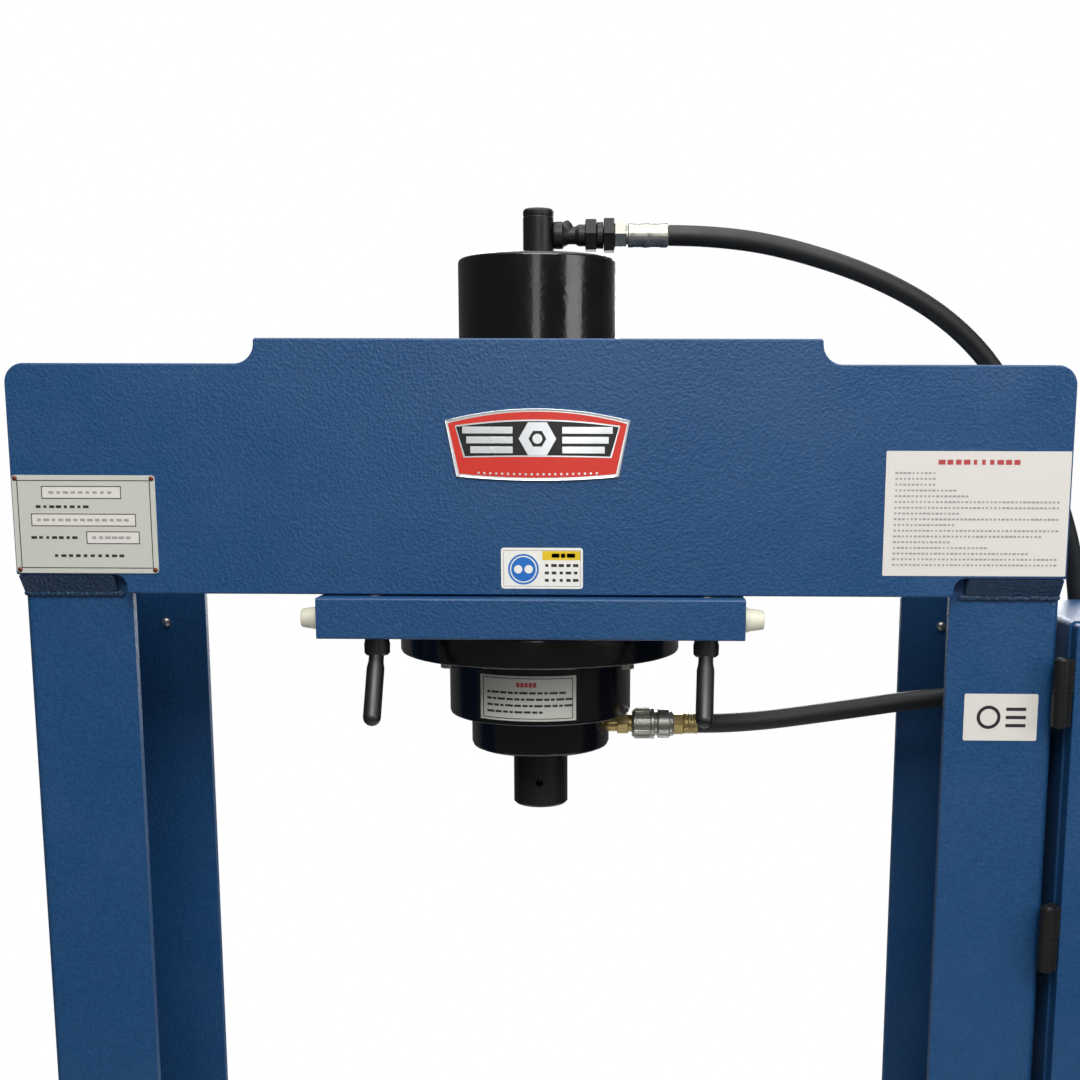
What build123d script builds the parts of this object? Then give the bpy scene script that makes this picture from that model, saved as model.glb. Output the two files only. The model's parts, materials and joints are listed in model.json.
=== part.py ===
"""Hydraulic shop press: an H-frame press with a cylinder carriage that rolls sideways.

Millimetres, +Z up. The origin is on the floor, midway between the legs, and the front faces -Y.
"""
from build123d import *
import math
import os

os.makedirs("parts", exist_ok=True)

# ---------------------------------------------------------------- driving dimensions
# Legs: channels that open towards the middle of the press
frame_width = 1080.0            # over the outer faces of the legs
leg_width = 114.0
leg_margin = 43.0               # leg's front and rear faces beyond the barrel
leg_wall = 10.0
leg_corner = 8.0
leg_rise = 208.0                # leg's top above the head's bottom edge
leg_bolt_drop = 64.0            # bolt in the rear flange, below the head's bottom edge
leg_bolt_radius = 5.0
leg_bolt_inset = 49.0           # from the leg's mouth to the bolt
web_hole_drop = 100.0           # hole for the lower hose, below the cabinet's top
grommet_wall = 6.0              # web hole's edge to the hose
notch_half_width = 100.0        # open top of the web, where the upper hose passes
notch_depth = 72.0

# Feet and base ties
foot_length = 700.0
foot_thickness = 14.0
gusset_height = 215.0
gusset_thickness = 12.0
gusset_inset = 24.0             # gusset's outer face to the leg's outer face
anchor_radius = 9.0
anchor_inset = 29.0             # anchor hole to the leg's mouth
anchor_end = 40.0               # anchor hole to the end of the foot
tie_height = 160.0
tie_bottom = 60.0
tie_thickness = 12.0
tie_bolt_radius = 8.0

# Head plates
head_bottom = 1492.0
head_plate = 18.0
head_end_height = 233.0
head_raise = 25.0
raise_half_width = 286.0
saddle_rise = 19.0              # the plate's bottom edge steps up over the legs
bead_drop = 24.0
rail_rise = 80.0                # rail's top above the head's bottom edge
rail_height = 12.0
rail_depth = 23.0
rail_end_gap = 16.0

# Carriage
carriage_x = -7.0
slab_length = 438.0
slab_thickness = 42.0
slab_gap = 1.5                  # between the slab and the head's bottom edge
slab_lip = 22.0                 # the slab's front stands this far before the head
bumper_radius = 13.0
bumper_tip_radius = 9.5
bumper_length = 22.0
bumper_rise = 17.5              # bumper's axis above the slab's bottom
bumper_inset = 36.0             # bumper's axis to the slab's front
roller_radius = 30.0
roller_width = 16.0
roller_spread = 320.0
axle_radius = 10.0
bracket_thickness = 10.0
bracket_margin = 30.0
bracket_rise = 25.0             # bracket above the roller's axle

# Cylinder
barrel_radius = 88.0
barrel_wall = 18.0
barrel_rise = 93.0              # barrel's top above the head's top
barrel_cap = 30.0
flange_step = 69.5              # flange's edge beyond the barrel
flange_thickness = 33.5
gland_wall = 15.0
gland_height = 71.0
gland_lip = 12.0
nut_step = 9.5                  # gland nut's edge inside the barrel's
nut_height = 39.4
wiper_wall = 9.0
wiper_height = 4.0
ring_edge = 4.0
ram_radius = 31.0
ram_reach = 68.6                # ram's nose below the gland nut
ram_socket_radius = 12.5
ram_socket_depth = 40.0
screw_hole_radius = 4.5
screw_hole_height = 29.0
piston_height = 50.0
piston_headroom = 8.0
seal_height = 8.0
seal_depth = 6.0
flange_bolt_angles = (30, 150, 210, 330)
flange_pad_radius = 10.0
flange_pad_height = 7.0
flange_bolt_radius = 5.0

# Ports, fittings and hoses
post_radius = 17.0
post_height = 54.0
upper_port_rise = 26.8          # port above the barrel's top
lower_port_margin = 3.5         # gland ring's bottom to the hose's side
hose_radius = 11.0
ferrule_wall = 2.0
coupler_wall = 7.0
pipe_radius = 9.0

# Clamp levers
left_clamp_offset = -162.0      # from the carriage's middle
right_clamp_offset = 181.0
clamp_radius = 8.0
hub_radius = 13.5
hub_height = 20.0
arm_radius = 9.2
arm_reach = 40.0
arm_drop = 68.0

# Table
pin_radius = 25.0
pin_clearance = 1.0
pin_hole_first = 275.0
pin_hole_pitch = 110.0
pin_hole_count = 5
table_height = 200.0
table_flange = 75.0
table_web = 9.0
table_flange_wall = 12.0
table_gap = 80.0                # clear slot between the two beams
table_end_gap = 15.0
block_length = 100.0
block_height = 70.0
block_depth = 200.0
block_offset = 110.0
block_groove = 60.0

# Power unit cabinet
cabinet_gap = 12.0
cabinet_width = 400.0
cabinet_depth = 210.0
cabinet_height = 678.0
cabinet_drop = 26.0             # cabinet's top below the head's bottom edge
cabinet_sheet = 3.0
door_thickness = 18.0
door_gap = 2.0
hinge_height = 70.0
hinge_pitch = 266.0
hinge_top_inset = 38.0
knuckle_radius = 9.0
hinge_pin_radius = 4.0
tank_height = 289.0
motor_radius = 70.0
valve_side = 100.0
gauge_radius = 50.0
button_radius = 15.0
button_cap_depth = 9.0
button_stand_off = 7.0          # door to the back of a button's cap
needle_radius = 5.0
needle_length = 44.0
needle_width = 3.0
rest_angle = 225.0              # the needle's direction at zero
gauge_depth = 28.0
dial_depth = 12.0
handle_radius = 6.0
handle_reach = 32.0
handle_rise = 265.0             # handle's lower foot above the cabinet's bottom
handle_length = 120.0
handle_inset = 38.0
tank_wall = 4.0
tank_lid = 6.0
tank_gaps = (25.0, 20.0, 14.0, 13.0)    # left, right, front and back of the tank
tank_corner = 8.0
motor_gap = 30.0                # motor to the cabinet's right wall
motor_foot = 16.0
motor_body = 199.0
motor_cover = 47.0
fin_count = 16
fin_depth = 8.0
fin_thickness = 3.0
fin_length = 190.0
terminal_half_width = 45.0
terminal_depth = 24.0
terminal_rise = (90.0, 160.0)
pump_flange = 30.0
pump_body = 90.0
intake_length = 60.0
intake_radius = 12.0
intake_offset = 25.0
coil_radius = 17.0
coil_length = 55.0
coil_drop = 35.0
coil_offsets = (30.0, 75.0)
pedestal_radius = 26.0
pipe_nut_flats = 28.0
pipe_nut_height = 18.0
bulkhead_nut_flats = 30.0
tail_length = 36.0
mount_inset = (90.0, 190.0)     # cabinet mounts above its bottom and below its top
mount_size = 60.0

# Cuts
cut = 1.0                       # how far a cut runs past the face that it opens

# Fits
running = 0.05                  # radial, between a shaft and its hole
seat = 0.1                      # radial or face gap between parts that seat on each other
free = 0.4                      # between parts that pass each other

# ---------------------------------------------------------------- derived places
half_width = frame_width / 2
leg_depth = 2 * (barrel_radius + leg_margin)
leg_mouth = half_width - leg_width
leg_middle = half_width - leg_width / 2
web_inside = half_width - leg_wall
leg_front = leg_depth / 2
flange_inside = leg_front - leg_wall
head_front = leg_front + head_plate
head_end_top = head_bottom + head_end_height
head_top = head_end_top + head_raise
saddle = head_bottom + saddle_rise
leg_top = head_bottom + leg_rise
leg_bolt_height = head_bottom - leg_bolt_drop
rail_top = head_bottom + rail_rise
leg_bolt_x = leg_mouth + leg_bolt_inset
anchor_x = leg_mouth + anchor_inset
anchor_y = foot_length / 2 - anchor_end
tie_bolt_x = leg_mouth + leg_wall + tie_bolt_radius * 2
tie_bolt_heights = (tie_bottom + tie_height / 4, tie_bottom + tie_height * 3 / 4)
tie_back = flange_inside - tie_thickness

bore_radius = barrel_radius - barrel_wall
flange_radius = barrel_radius + flange_step
gland_radius = barrel_radius + gland_wall
nut_radius = barrel_radius - nut_step
wiper_radius = ram_radius + wiper_wall
flange_bolt_circle = gland_radius + flange_pad_radius
ferrule_radius = hose_radius + ferrule_wall
coupler_radius = hose_radius + coupler_wall
web_hole_radius = hose_radius + grommet_wall
pin_hole_radius = pin_radius + pin_clearance

slab_top = head_bottom - slab_gap
slab_bottom = slab_top - slab_thickness
slab_half = slab_length / 2
slab_front = head_front + slab_lip
bumper_y = slab_front - bumper_inset
bumper_height = slab_bottom + bumper_rise
flange_bottom = slab_bottom - flange_thickness
gland_bottom = flange_bottom - gland_height
nut_bottom = gland_bottom - nut_height
ram_bottom = nut_bottom - ram_reach
lower_port_height = gland_bottom - hose_radius - lower_port_margin
barrel_top = head_top + barrel_rise
upper_port_height = barrel_top + upper_port_rise
roller_axis = rail_top + free + roller_radius
roller_outside = leg_front - rail_depth / 4
roller_inside = roller_outside - roller_width
bracket_outside = leg_front - rail_depth - free * 5
piston_top = barrel_top - barrel_cap - piston_headroom
piston_bottom = piston_top - piston_height
clamp_y = head_front - head_plate / 2
post_top = barrel_top + post_height
pin_hole_heights = [pin_hole_first + pin_hole_pitch * i for i in range(pin_hole_count)]
table_bottom = pin_hole_first + pin_radius + free
table_top = table_bottom + table_height
table_inside = table_gap / 2
table_half_length = web_inside - table_end_gap

cabinet_top = head_bottom - cabinet_drop
web_hole_height = cabinet_top - web_hole_drop
cabinet_left = half_width + cabinet_gap
cabinet_right = cabinet_left + cabinet_width
door_front = -head_front
door_back = door_front + door_thickness
cabinet_front = door_back + door_gap
cabinet_back = cabinet_front + cabinet_depth
cabinet_bottom = cabinet_top - cabinet_height
door_left = cabinet_left + door_gap
hinge_x = cabinet_left - 11.0
hinge_y = door_front + 1.0
hinge_tops = [cabinet_top - hinge_top_inset - hinge_pitch * i for i in range(3)]
tank_top = cabinet_bottom + cabinet_sheet + tank_height
motor_x = cabinet_right - cabinet_sheet - motor_radius - motor_gap
motor_y = (cabinet_front + cabinet_back) / 2
valve_left = cabinet_left + 76.0
valve_bottom = cabinet_top - 240.0
valve_top = cabinet_top - 66.0
valve_front = cabinet_front + 89.0
valve_back = cabinet_back - 11.0
panel_x = cabinet_left + cabinet_width / 2
gauge_z = cabinet_top - 120.0
button_z = cabinet_top - 235.0
button_pitch = 70.0

# Hose routes: the points of each centre line, chosen by hand
top_end_x = carriage_x + 141 + free
coupler_end_x = carriage_x + gland_radius + 78 + free
hose_back = cabinet_back + 29.0
upper_hose_route = [
    (top_end_x, 0, upper_port_height),
    (top_end_x + 43.6, 0, upper_port_height),
    (leg_mouth - 167, 1, upper_port_height - 10.5),
    (leg_mouth - 60, 9, upper_port_height - 42.6),
    (leg_mouth + 27, 30, upper_port_height - 87.2),
    (half_width - 17, 58, upper_port_height - 153.1),
    (cabinet_left + 56, 86, upper_port_height - 301.4),
    (cabinet_left + 89, hose_back, upper_port_height - 429.8),
    (cabinet_left + 89, hose_back, upper_port_height - 539.8),
]
lower_hose_route = [
    (coupler_end_x, 0, lower_port_height),
    (coupler_end_x + 47.6, 0, lower_port_height),
    (leg_mouth - 96, 0, lower_port_height + 15),
    (leg_mouth + 14, 0, web_hole_height - 4.5),
    (half_width - 5, 0, web_hole_height),
    (cabinet_left + 38, 0, web_hole_height),
]
upper_end = upper_hose_route[-1]
lower_end = lower_hose_route[-1]


# ---------------------------------------------------------------- shared shapes
def block(x, y, z, mode=Mode.ADD):
    """A rectangular block between a low and a high limit on each axis."""
    with Locations(((x[0] + x[1]) / 2, (y[0] + y[1]) / 2, (z[0] + z[1]) / 2)):
        Box(x[1] - x[0], y[1] - y[0], z[1] - z[0], mode=mode)


def bar(start, end, radius, mode=Mode.ADD):
    """A round bar, or a round hole, from one point to another."""
    along = Vector(*end) - Vector(*start)
    with Locations(Plane(origin=start, z_dir=along)):
        Cylinder(radius, along.length, align=(Align.CENTER, Align.CENTER, Align.MIN), mode=mode)


def cone(start, end, start_radius, end_radius, mode=Mode.ADD):
    """A straight taper from one point to another."""
    along = Vector(*end) - Vector(*start)
    low = (Align.CENTER, Align.CENTER, Align.MIN)
    with Locations(Plane(origin=start, z_dir=along)):
        Cone(start_radius, end_radius, along.length, align=low, mode=mode)


def hexagon(start, end, across_flats, mode=Mode.ADD):
    """A hexagonal bar from one point to another."""
    along = Vector(*end) - Vector(*start)
    with BuildSketch(Plane(origin=start, z_dir=along)) as outline:
        RegularPolygon(across_flats / 2, 6, major_radius=False)
    extrude(outline.sketch, amount=along.length, mode=mode)


def bolt(head, nut, radius, head_side=1.0, nut_size=1.6):
    """A hexagon bolt along Y: the head's seat and the nut's seat, each an (x, y, z) point."""
    x, y, z = head
    side = math.copysign(1.0, nut[1] - y)
    hexagon((x, y - side * radius * 1.25, z), (x, y, z), radius * 3.2 * head_side)
    bar((x, y - side * radius, z), (x, nut[1] + side * radius * 2, z), radius - seat)
    hexagon((x, nut[1], z), (x, nut[1] + side * radius * nut_size, z), radius * 3.2)


def in_line(sections, height):
    """Round and hexagonal sections along X: (shape, start, end, size), from the cylinder's axis."""
    for shape, start, end, size in sections:
        shape((carriage_x + start, 0, height), (carriage_x + end, 0, height), size)


def write(builder, name):
    """Label a finished sub-part and write its STEP file."""
    builder.part.label = name
    export_step(builder.part, f"parts/{name}.step")


def hose(route, name):
    """A hose: straight runs joined by tangent arcs as large as the runs allow."""
    points = [Vector(*point) for point in route]
    runs = [b - a for a, b in zip(points, points[1:])]
    radii = []
    for before, after in zip(runs, runs[1:]):
        half_turn = math.radians(before.get_angle(after)) / 2
        radii.append(0.45 * min(before.length, after.length) / math.tan(half_turn))
    with BuildPart() as tube:
        with BuildLine() as path:
            FilletPolyline(*points, radius=radii)
        with BuildSketch(Plane(origin=points[0], z_dir=runs[0])):
            Circle(hose_radius)
        sweep(path=path.wire())
    length = path.wire().length
    expected = math.pi * hose_radius ** 2 * length
    print(name, "bend radii", [round(r) for r in radii], "length", round(length, 1),
          "volume ratio", round(tube.part.volume / expected, 4))
    write(tube, name)


# ---------------------------------------------------------------- legs
with BuildPart() as right_leg:
    with BuildSketch(Plane.XY.offset(foot_thickness)) as leg_section:
        with Locations((leg_middle, 0)):
            Rectangle(leg_width, leg_depth)
        outer_corners = leg_section.vertices().group_by(Axis.X)[-1]
        fillet(outer_corners, leg_corner)
        with Locations((leg_middle - leg_wall, 0)):
            Rectangle(leg_width, leg_depth - 2 * leg_wall, mode=Mode.SUBTRACT)
    extrude(amount=leg_top - foot_thickness)
    for height in pin_hole_heights:
        bar((leg_middle, -half_width, height), (leg_middle, half_width, height), pin_hole_radius,
            mode=Mode.SUBTRACT)
    for height in tie_bolt_heights:
        bar((tie_bolt_x, -half_width, height), (tie_bolt_x, half_width, height), tie_bolt_radius,
            mode=Mode.SUBTRACT)
    bar((leg_bolt_x, 0, leg_bolt_height), (leg_bolt_x, half_width, leg_bolt_height),
        leg_bolt_radius, mode=Mode.SUBTRACT)
    bar((leg_middle, 0, web_hole_height), (half_width + cut, 0, web_hole_height), web_hole_radius,
        mode=Mode.SUBTRACT)
    block((leg_middle, half_width + cut), (-notch_half_width, notch_half_width),
          (leg_top - notch_depth, leg_top + cut), mode=Mode.SUBTRACT)
write(right_leg, "right_leg")

with BuildPart() as left_leg:
    mirror(right_leg.part, about=Plane.YZ)
write(left_leg, "left_leg")

# ---------------------------------------------------------------- feet
with BuildPart() as right_foot:
    block((leg_mouth, half_width), (-foot_length / 2, foot_length / 2), (0, foot_thickness))
    foot_corners = right_foot.edges().filter_by(Axis.Z)
    fillet(foot_corners, anchor_radius)
    gusset_plane = Plane.YZ.offset(half_width - gusset_inset - gusset_thickness)
    for side in (-1, 1):
        with BuildSketch(gusset_plane):
            with BuildLine():
                Polyline(
                    (side * leg_front, foot_thickness),
                    (side * (anchor_y - anchor_radius), foot_thickness),
                    (side * (anchor_y - anchor_radius), foot_thickness * 2),
                    (side * (leg_front + gusset_thickness), foot_thickness + gusset_height),
                    (side * leg_front, foot_thickness + gusset_height),
                    close=True,
                )
            make_face()
        extrude(amount=gusset_thickness)
        bar((anchor_x, side * anchor_y, -1), (anchor_x, side * anchor_y, foot_thickness + cut),
            anchor_radius, mode=Mode.SUBTRACT)
write(right_foot, "right_foot")

with BuildPart() as left_foot:
    mirror(right_foot.part, about=Plane.YZ)
write(left_foot, "left_foot")

with BuildPart() as base_ties:
    for side in (-1, 1):
        depth = sorted((side * tie_back, side * flange_inside))
        block((-web_inside + free, web_inside - free), depth, (tie_bottom, tie_bottom + tie_height))
        for x in (-tie_bolt_x, tie_bolt_x):
            for height in tie_bolt_heights:
                bar((x, depth[0] - cut, height), (x, depth[1] + cut, height), tie_bolt_radius,
                    mode=Mode.SUBTRACT)
write(base_ties, "base_ties")

with BuildPart() as frame_bolts:
    for x in (-1, 1):
        for side in (-1, 1):
            for height in tie_bolt_heights:
                bolt((x * tie_bolt_x, side * leg_front, height),
                     (x * tie_bolt_x, side * tie_back, height), tie_bolt_radius)
        bolt((x * leg_bolt_x, flange_inside, leg_bolt_height),
             (x * leg_bolt_x, leg_front, leg_bolt_height), leg_bolt_radius, head_side=0.85)
write(frame_bolts, "frame_bolts")


# ---------------------------------------------------------------- head
def head_plate_outline():
    """The head plate's outline on the XZ plane: raised middle, stepped up over each leg."""
    FilletPolyline(
        (0, head_bottom), (leg_mouth, head_bottom), (leg_mouth, saddle), (half_width, saddle),
        (half_width, head_end_top), (raise_half_width, head_end_top),
        (raise_half_width, head_top), (0, head_top),
        radius=[3, 12, 2, 20, 20, 3],
    )
    mirror(about=Plane.YZ)


with BuildPart() as front_head_plate:
    with BuildSketch(Plane.XZ.offset(leg_front)):
        with BuildLine():
            head_plate_outline()
        make_face()
    extrude(amount=head_plate)
write(front_head_plate, "front_head_plate")

with BuildPart() as rear_head_plate:
    mirror(front_head_plate.part, about=Plane.XZ)
write(rear_head_plate, "rear_head_plate")

with BuildPart() as weld_beads:
    for x in (-1, 1):
        for side in (-1, 1):
            with BuildSketch(Plane.YZ.offset(x * (leg_mouth + 14 if x > 0 else half_width - cut))):
                with BuildLine():
                    Polyline(
                        (side * leg_front, saddle - seat), (side * head_front, saddle - seat),
                        (side * leg_front, saddle - bead_drop), close=True,
                    )
                make_face()
            extrude(amount=half_width - leg_mouth - 15)
write(weld_beads, "weld_beads")

with BuildPart() as carriage_rails:
    for side in (-1, 1):
        depth = sorted((side * (leg_front - rail_depth), side * leg_front))
        block((-leg_mouth + rail_end_gap, leg_mouth - rail_end_gap), depth,
              (rail_top - rail_height, rail_top))
write(carriage_rails, "carriage_rails")

# ---------------------------------------------------------------- carriage
left_clamp_x = carriage_x + left_clamp_offset
right_clamp_x = carriage_x + right_clamp_offset

with BuildPart() as carriage_slab:
    block((carriage_x - slab_half, carriage_x + slab_half), (-slab_front, slab_front),
          (slab_bottom, slab_top))
    chamfer(carriage_slab.edges().filter_by(Axis.X), 1.5)
    bar((carriage_x, 0, slab_bottom - cut), (carriage_x, 0, slab_top + cut), barrel_radius + free,
        mode=Mode.SUBTRACT)
    for x in (left_clamp_x, right_clamp_x):
        bar((x, -clamp_y, slab_bottom - cut), (x, -clamp_y, slab_top + cut), clamp_radius + running,
            mode=Mode.SUBTRACT)
write(carriage_slab, "carriage_slab")

with BuildPart() as roller_brackets:
    bracket_half = roller_spread / 2 + bracket_margin
    for side in (-1, 1):
        depth = sorted((side * (bracket_outside - bracket_thickness), side * bracket_outside))
        block((carriage_x - bracket_half, carriage_x + bracket_half), depth,
              (slab_top, roller_axis + bracket_rise))
        for offset in (-roller_spread / 2, roller_spread / 2):
            x = carriage_x + offset
            bar((x, side * bracket_outside, roller_axis),
                (x, side * (roller_outside + free), roller_axis), axle_radius)
            bar((x, side * (roller_outside + free), roller_axis),
                (x, side * (roller_outside + free + 2), roller_axis), axle_radius + 4)
            bar((x, side * bracket_outside, roller_axis),
                (x, side * (roller_inside - free), roller_axis), axle_radius + 4)
write(roller_brackets, "roller_brackets")

for side, side_name in ((-1, "front"), (1, "rear")):
    for offset, end_name in ((-roller_spread / 2, "left"), (roller_spread / 2, "right")):
        x = carriage_x + offset
        with BuildPart() as roller:
            bar((x, side * roller_inside, roller_axis), (x, side * roller_outside, roller_axis),
                roller_radius)
            chamfer(roller.edges().filter_by(GeomType.CIRCLE), 1.5)
            bar((x, side * (roller_inside - cut), roller_axis),
                (x, side * (roller_outside + cut), roller_axis), axle_radius + running,
                mode=Mode.SUBTRACT)
        write(roller, f"{side_name}_{end_name}_roller")

with BuildPart() as bumpers:
    for x in (-1, 1):
        for side in (-1, 1):
            face = carriage_x + x * slab_half
            cone((face, side * bumper_y, bumper_height),
                 (face + x * bumper_length, side * bumper_y, bumper_height),
                 bumper_radius, bumper_tip_radius)
write(bumpers, "bumpers")

# ---------------------------------------------------------------- cylinder
with BuildPart() as cylinder_barrel:
    bar((carriage_x, 0, gland_bottom + gland_lip), (carriage_x, 0, barrel_top), barrel_radius)
    fillet(cylinder_barrel.edges().filter_by(GeomType.CIRCLE).group_by(Axis.Z)[-1], ring_edge)
    bar((carriage_x, 0, barrel_top - cut), (carriage_x, 0, post_top), post_radius)
    chamfer(cylinder_barrel.edges().filter_by(GeomType.CIRCLE).group_by(Axis.Z)[-1], 1.5)
    bar((carriage_x, 0, gland_bottom), (carriage_x, 0, barrel_top - barrel_cap), bore_radius,
        mode=Mode.SUBTRACT)
    bar((carriage_x, 0, barrel_top - barrel_cap - cut), (carriage_x, 0, upper_port_height), 4,
        mode=Mode.SUBTRACT)
    bar((carriage_x, 0, upper_port_height), (carriage_x + post_radius * 2, 0, upper_port_height),
        ferrule_radius - 4, mode=Mode.SUBTRACT)
    hexagon((carriage_x, 0, post_top - 6), (carriage_x, 0, post_top + cut), 12, mode=Mode.SUBTRACT)
write(cylinder_barrel, "cylinder_barrel")

bolt_spots = [
    (carriage_x + flange_bolt_circle * math.cos(math.radians(angle)),
     flange_bolt_circle * math.sin(math.radians(angle)))
    for angle in flange_bolt_angles
]

with BuildPart() as cylinder_flange:
    bar((carriage_x, 0, flange_bottom), (carriage_x, 0, slab_bottom - seat), flange_radius)
    fillet(cylinder_flange.edges().filter_by(GeomType.CIRCLE), ring_edge)
    for x, y in bolt_spots:
        bar((x, y, flange_bottom - flange_pad_height), (x, y, flange_bottom + cut), flange_pad_radius)
        bar((x, y, flange_bottom - flange_pad_height - cut), (x, y, slab_bottom), flange_bolt_radius,
            mode=Mode.SUBTRACT)
    bar((carriage_x, 0, flange_bottom - cut), (carriage_x, 0, slab_bottom), barrel_radius + seat,
        mode=Mode.SUBTRACT)
    bar((carriage_x, 0, gland_bottom), (carriage_x, 0, flange_bottom), gland_radius + seat,
        mode=Mode.SUBTRACT)
write(cylinder_flange, "cylinder_flange")

with BuildPart() as flange_bolts:
    for x, y in bolt_spots:
        pad = flange_bottom - flange_pad_height
        hexagon((x, y, pad - flange_bolt_radius * 1.3), (x, y, pad), flange_bolt_radius * 3.1)
        bar((x, y, pad - cut), (x, y, slab_bottom - seat), flange_bolt_radius - seat)
write(flange_bolts, "flange_bolts")

with BuildPart() as gland_ring:
    bar((carriage_x, 0, gland_bottom), (carriage_x, 0, flange_bottom - seat), gland_radius)
    fillet(gland_ring.edges().filter_by(GeomType.CIRCLE), ring_edge)
    bar((carriage_x, 0, gland_bottom + gland_lip - seat), (carriage_x, 0, flange_bottom),
        barrel_radius + seat, mode=Mode.SUBTRACT)
    bar((carriage_x, 0, gland_bottom - cut), (carriage_x, 0, gland_bottom + gland_lip),
        (bore_radius + ram_radius) / 2, mode=Mode.SUBTRACT)
write(gland_ring, "gland_ring")

port_depth = 16.0
with BuildPart() as gland_nut:
    bar((carriage_x, 0, nut_bottom), (carriage_x, 0, gland_bottom - seat), nut_radius)
    fillet(gland_nut.edges().filter_by(GeomType.CIRCLE), ring_edge)
    bar((carriage_x, 0, nut_bottom - cut), (carriage_x, 0, gland_bottom + cut), ram_radius + running,
        mode=Mode.SUBTRACT)
    bar((carriage_x + nut_radius - port_depth, 0, lower_port_height),
        (carriage_x + nut_radius + cut, 0, lower_port_height), ferrule_radius - 3, mode=Mode.SUBTRACT)
write(gland_nut, "gland_nut")

with BuildPart() as rod_wiper:
    bar((carriage_x, 0, nut_bottom - wiper_height), (carriage_x, 0, nut_bottom - seat), wiper_radius)
    chamfer(rod_wiper.edges().filter_by(GeomType.CIRCLE).group_by(Axis.Z)[0], 1.5)
    bar((carriage_x, 0, nut_bottom - wiper_height - cut), (carriage_x, 0, nut_bottom),
        ram_radius + running * 2, mode=Mode.SUBTRACT)
write(rod_wiper, "rod_wiper")

# ---------------------------------------------------------------- ram
seal_heights = (piston_bottom + piston_height / 4, piston_bottom + piston_height * 3 / 4)

with BuildPart() as ram_rod:
    bar((carriage_x, 0, ram_bottom), (carriage_x, 0, piston_bottom - seat), ram_radius)
    chamfer(ram_rod.edges().filter_by(GeomType.CIRCLE).group_by(Axis.Z)[0], 2.5)
    bar((carriage_x, 0, ram_bottom - cut), (carriage_x, 0, ram_bottom + ram_socket_depth),
        ram_socket_radius, mode=Mode.SUBTRACT)
    bar((carriage_x, -ram_radius - cut, ram_bottom + screw_hole_height),
        (carriage_x, 0, ram_bottom + screw_hole_height), screw_hole_radius, mode=Mode.SUBTRACT)
write(ram_rod, "ram_rod")

with BuildPart() as piston:
    bar((carriage_x, 0, piston_bottom), (carriage_x, 0, piston_top), bore_radius - free)
    chamfer(piston.edges().filter_by(GeomType.CIRCLE), 2)
    for height in seal_heights:
        with BuildSketch(Plane.XY.offset(height - seal_height / 2 - seat)):
            with Locations((carriage_x, 0)):
                Circle(bore_radius)
                Circle(bore_radius - seal_depth, mode=Mode.SUBTRACT)
        extrude(amount=seal_height + 2 * seat, mode=Mode.SUBTRACT)
write(piston, "piston")

with BuildPart() as piston_seals:
    for height in seal_heights:
        with BuildSketch(Plane.XY.offset(height - seal_height / 2)):
            with Locations((carriage_x, 0)):
                Circle(bore_radius - running)
                Circle(bore_radius - seal_depth + seat, mode=Mode.SUBTRACT)
        extrude(amount=seal_height)
write(piston_seals, "piston_seals")

# ---------------------------------------------------------------- hydraulic fittings
upper_thread_radius = ferrule_radius - 4
lower_thread_radius = ferrule_radius - 3

with BuildPart() as top_fitting:
    in_line([
        (bar, post_radius / 2, 51, upper_thread_radius - seat),
        (bar, post_radius + cut, 26, ferrule_radius - cut),
        (hexagon, 51, 64, ferrule_radius * 2 + 6),
        (bar, 64, 71, ferrule_radius + cut),
        (hexagon, 71, 83, ferrule_radius * 2 + 8),
        (hexagon, 83, 97, ferrule_radius * 2 - 1),
    ], upper_port_height)
write(top_fitting, "top_fitting")

with BuildPart() as quick_coupler:
    in_line([
        (bar, nut_radius - port_depth + seat, nut_radius + 11.5, lower_thread_radius - seat),
        (hexagon, nut_radius + 9.5, gland_radius + 3, ferrule_radius * 2 - 4),
        (bar, gland_radius + 3, gland_radius + 27, coupler_radius),
        (bar, gland_radius + 27, gland_radius + 31, coupler_radius - 4),
        (bar, gland_radius + 31, gland_radius + 50, coupler_radius - cut),
    ], lower_port_height)
write(quick_coupler, "quick_coupler")

with BuildPart() as hose_ferrules:
    in_line([(bar, 97, 141, ferrule_radius)], upper_port_height)
    in_line([
        (hexagon, gland_radius + 50, gland_radius + 60, ferrule_radius * 2 - 4),
        (bar, gland_radius + 60, gland_radius + 78, ferrule_radius - cut),
    ], lower_port_height)
write(hose_ferrules, "hose_ferrules")

hose(upper_hose_route, "upper_hose")
hose(lower_hose_route, "lower_hose")

# ---------------------------------------------------------------- clamp levers
for name, x, lean in (("left", left_clamp_x, 0), ("right", right_clamp_x, -3)):
    with BuildPart() as clamp_lever:
        hub_top = slab_bottom - free
        bar((x, -clamp_y, hub_top - cut), (x, -clamp_y, slab_top + slab_gap - free), clamp_radius)
        bar((x, -clamp_y, hub_top - hub_height), (x, -clamp_y, hub_top), hub_radius)
        chamfer(clamp_lever.edges().filter_by(GeomType.CIRCLE).group_by(Axis.Z)[0], 2)
        arm_start = (x, -clamp_y, hub_top - hub_height + arm_radius)
        arm_end = (x + lean, -clamp_y - arm_reach, hub_top - hub_height - arm_drop + arm_radius)
        bar(arm_start, arm_end, arm_radius)
        for point in (arm_start, arm_end):
            with Locations(point):
                Sphere(arm_radius)
    write(clamp_lever, f"{name}_clamp_lever")

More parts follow.
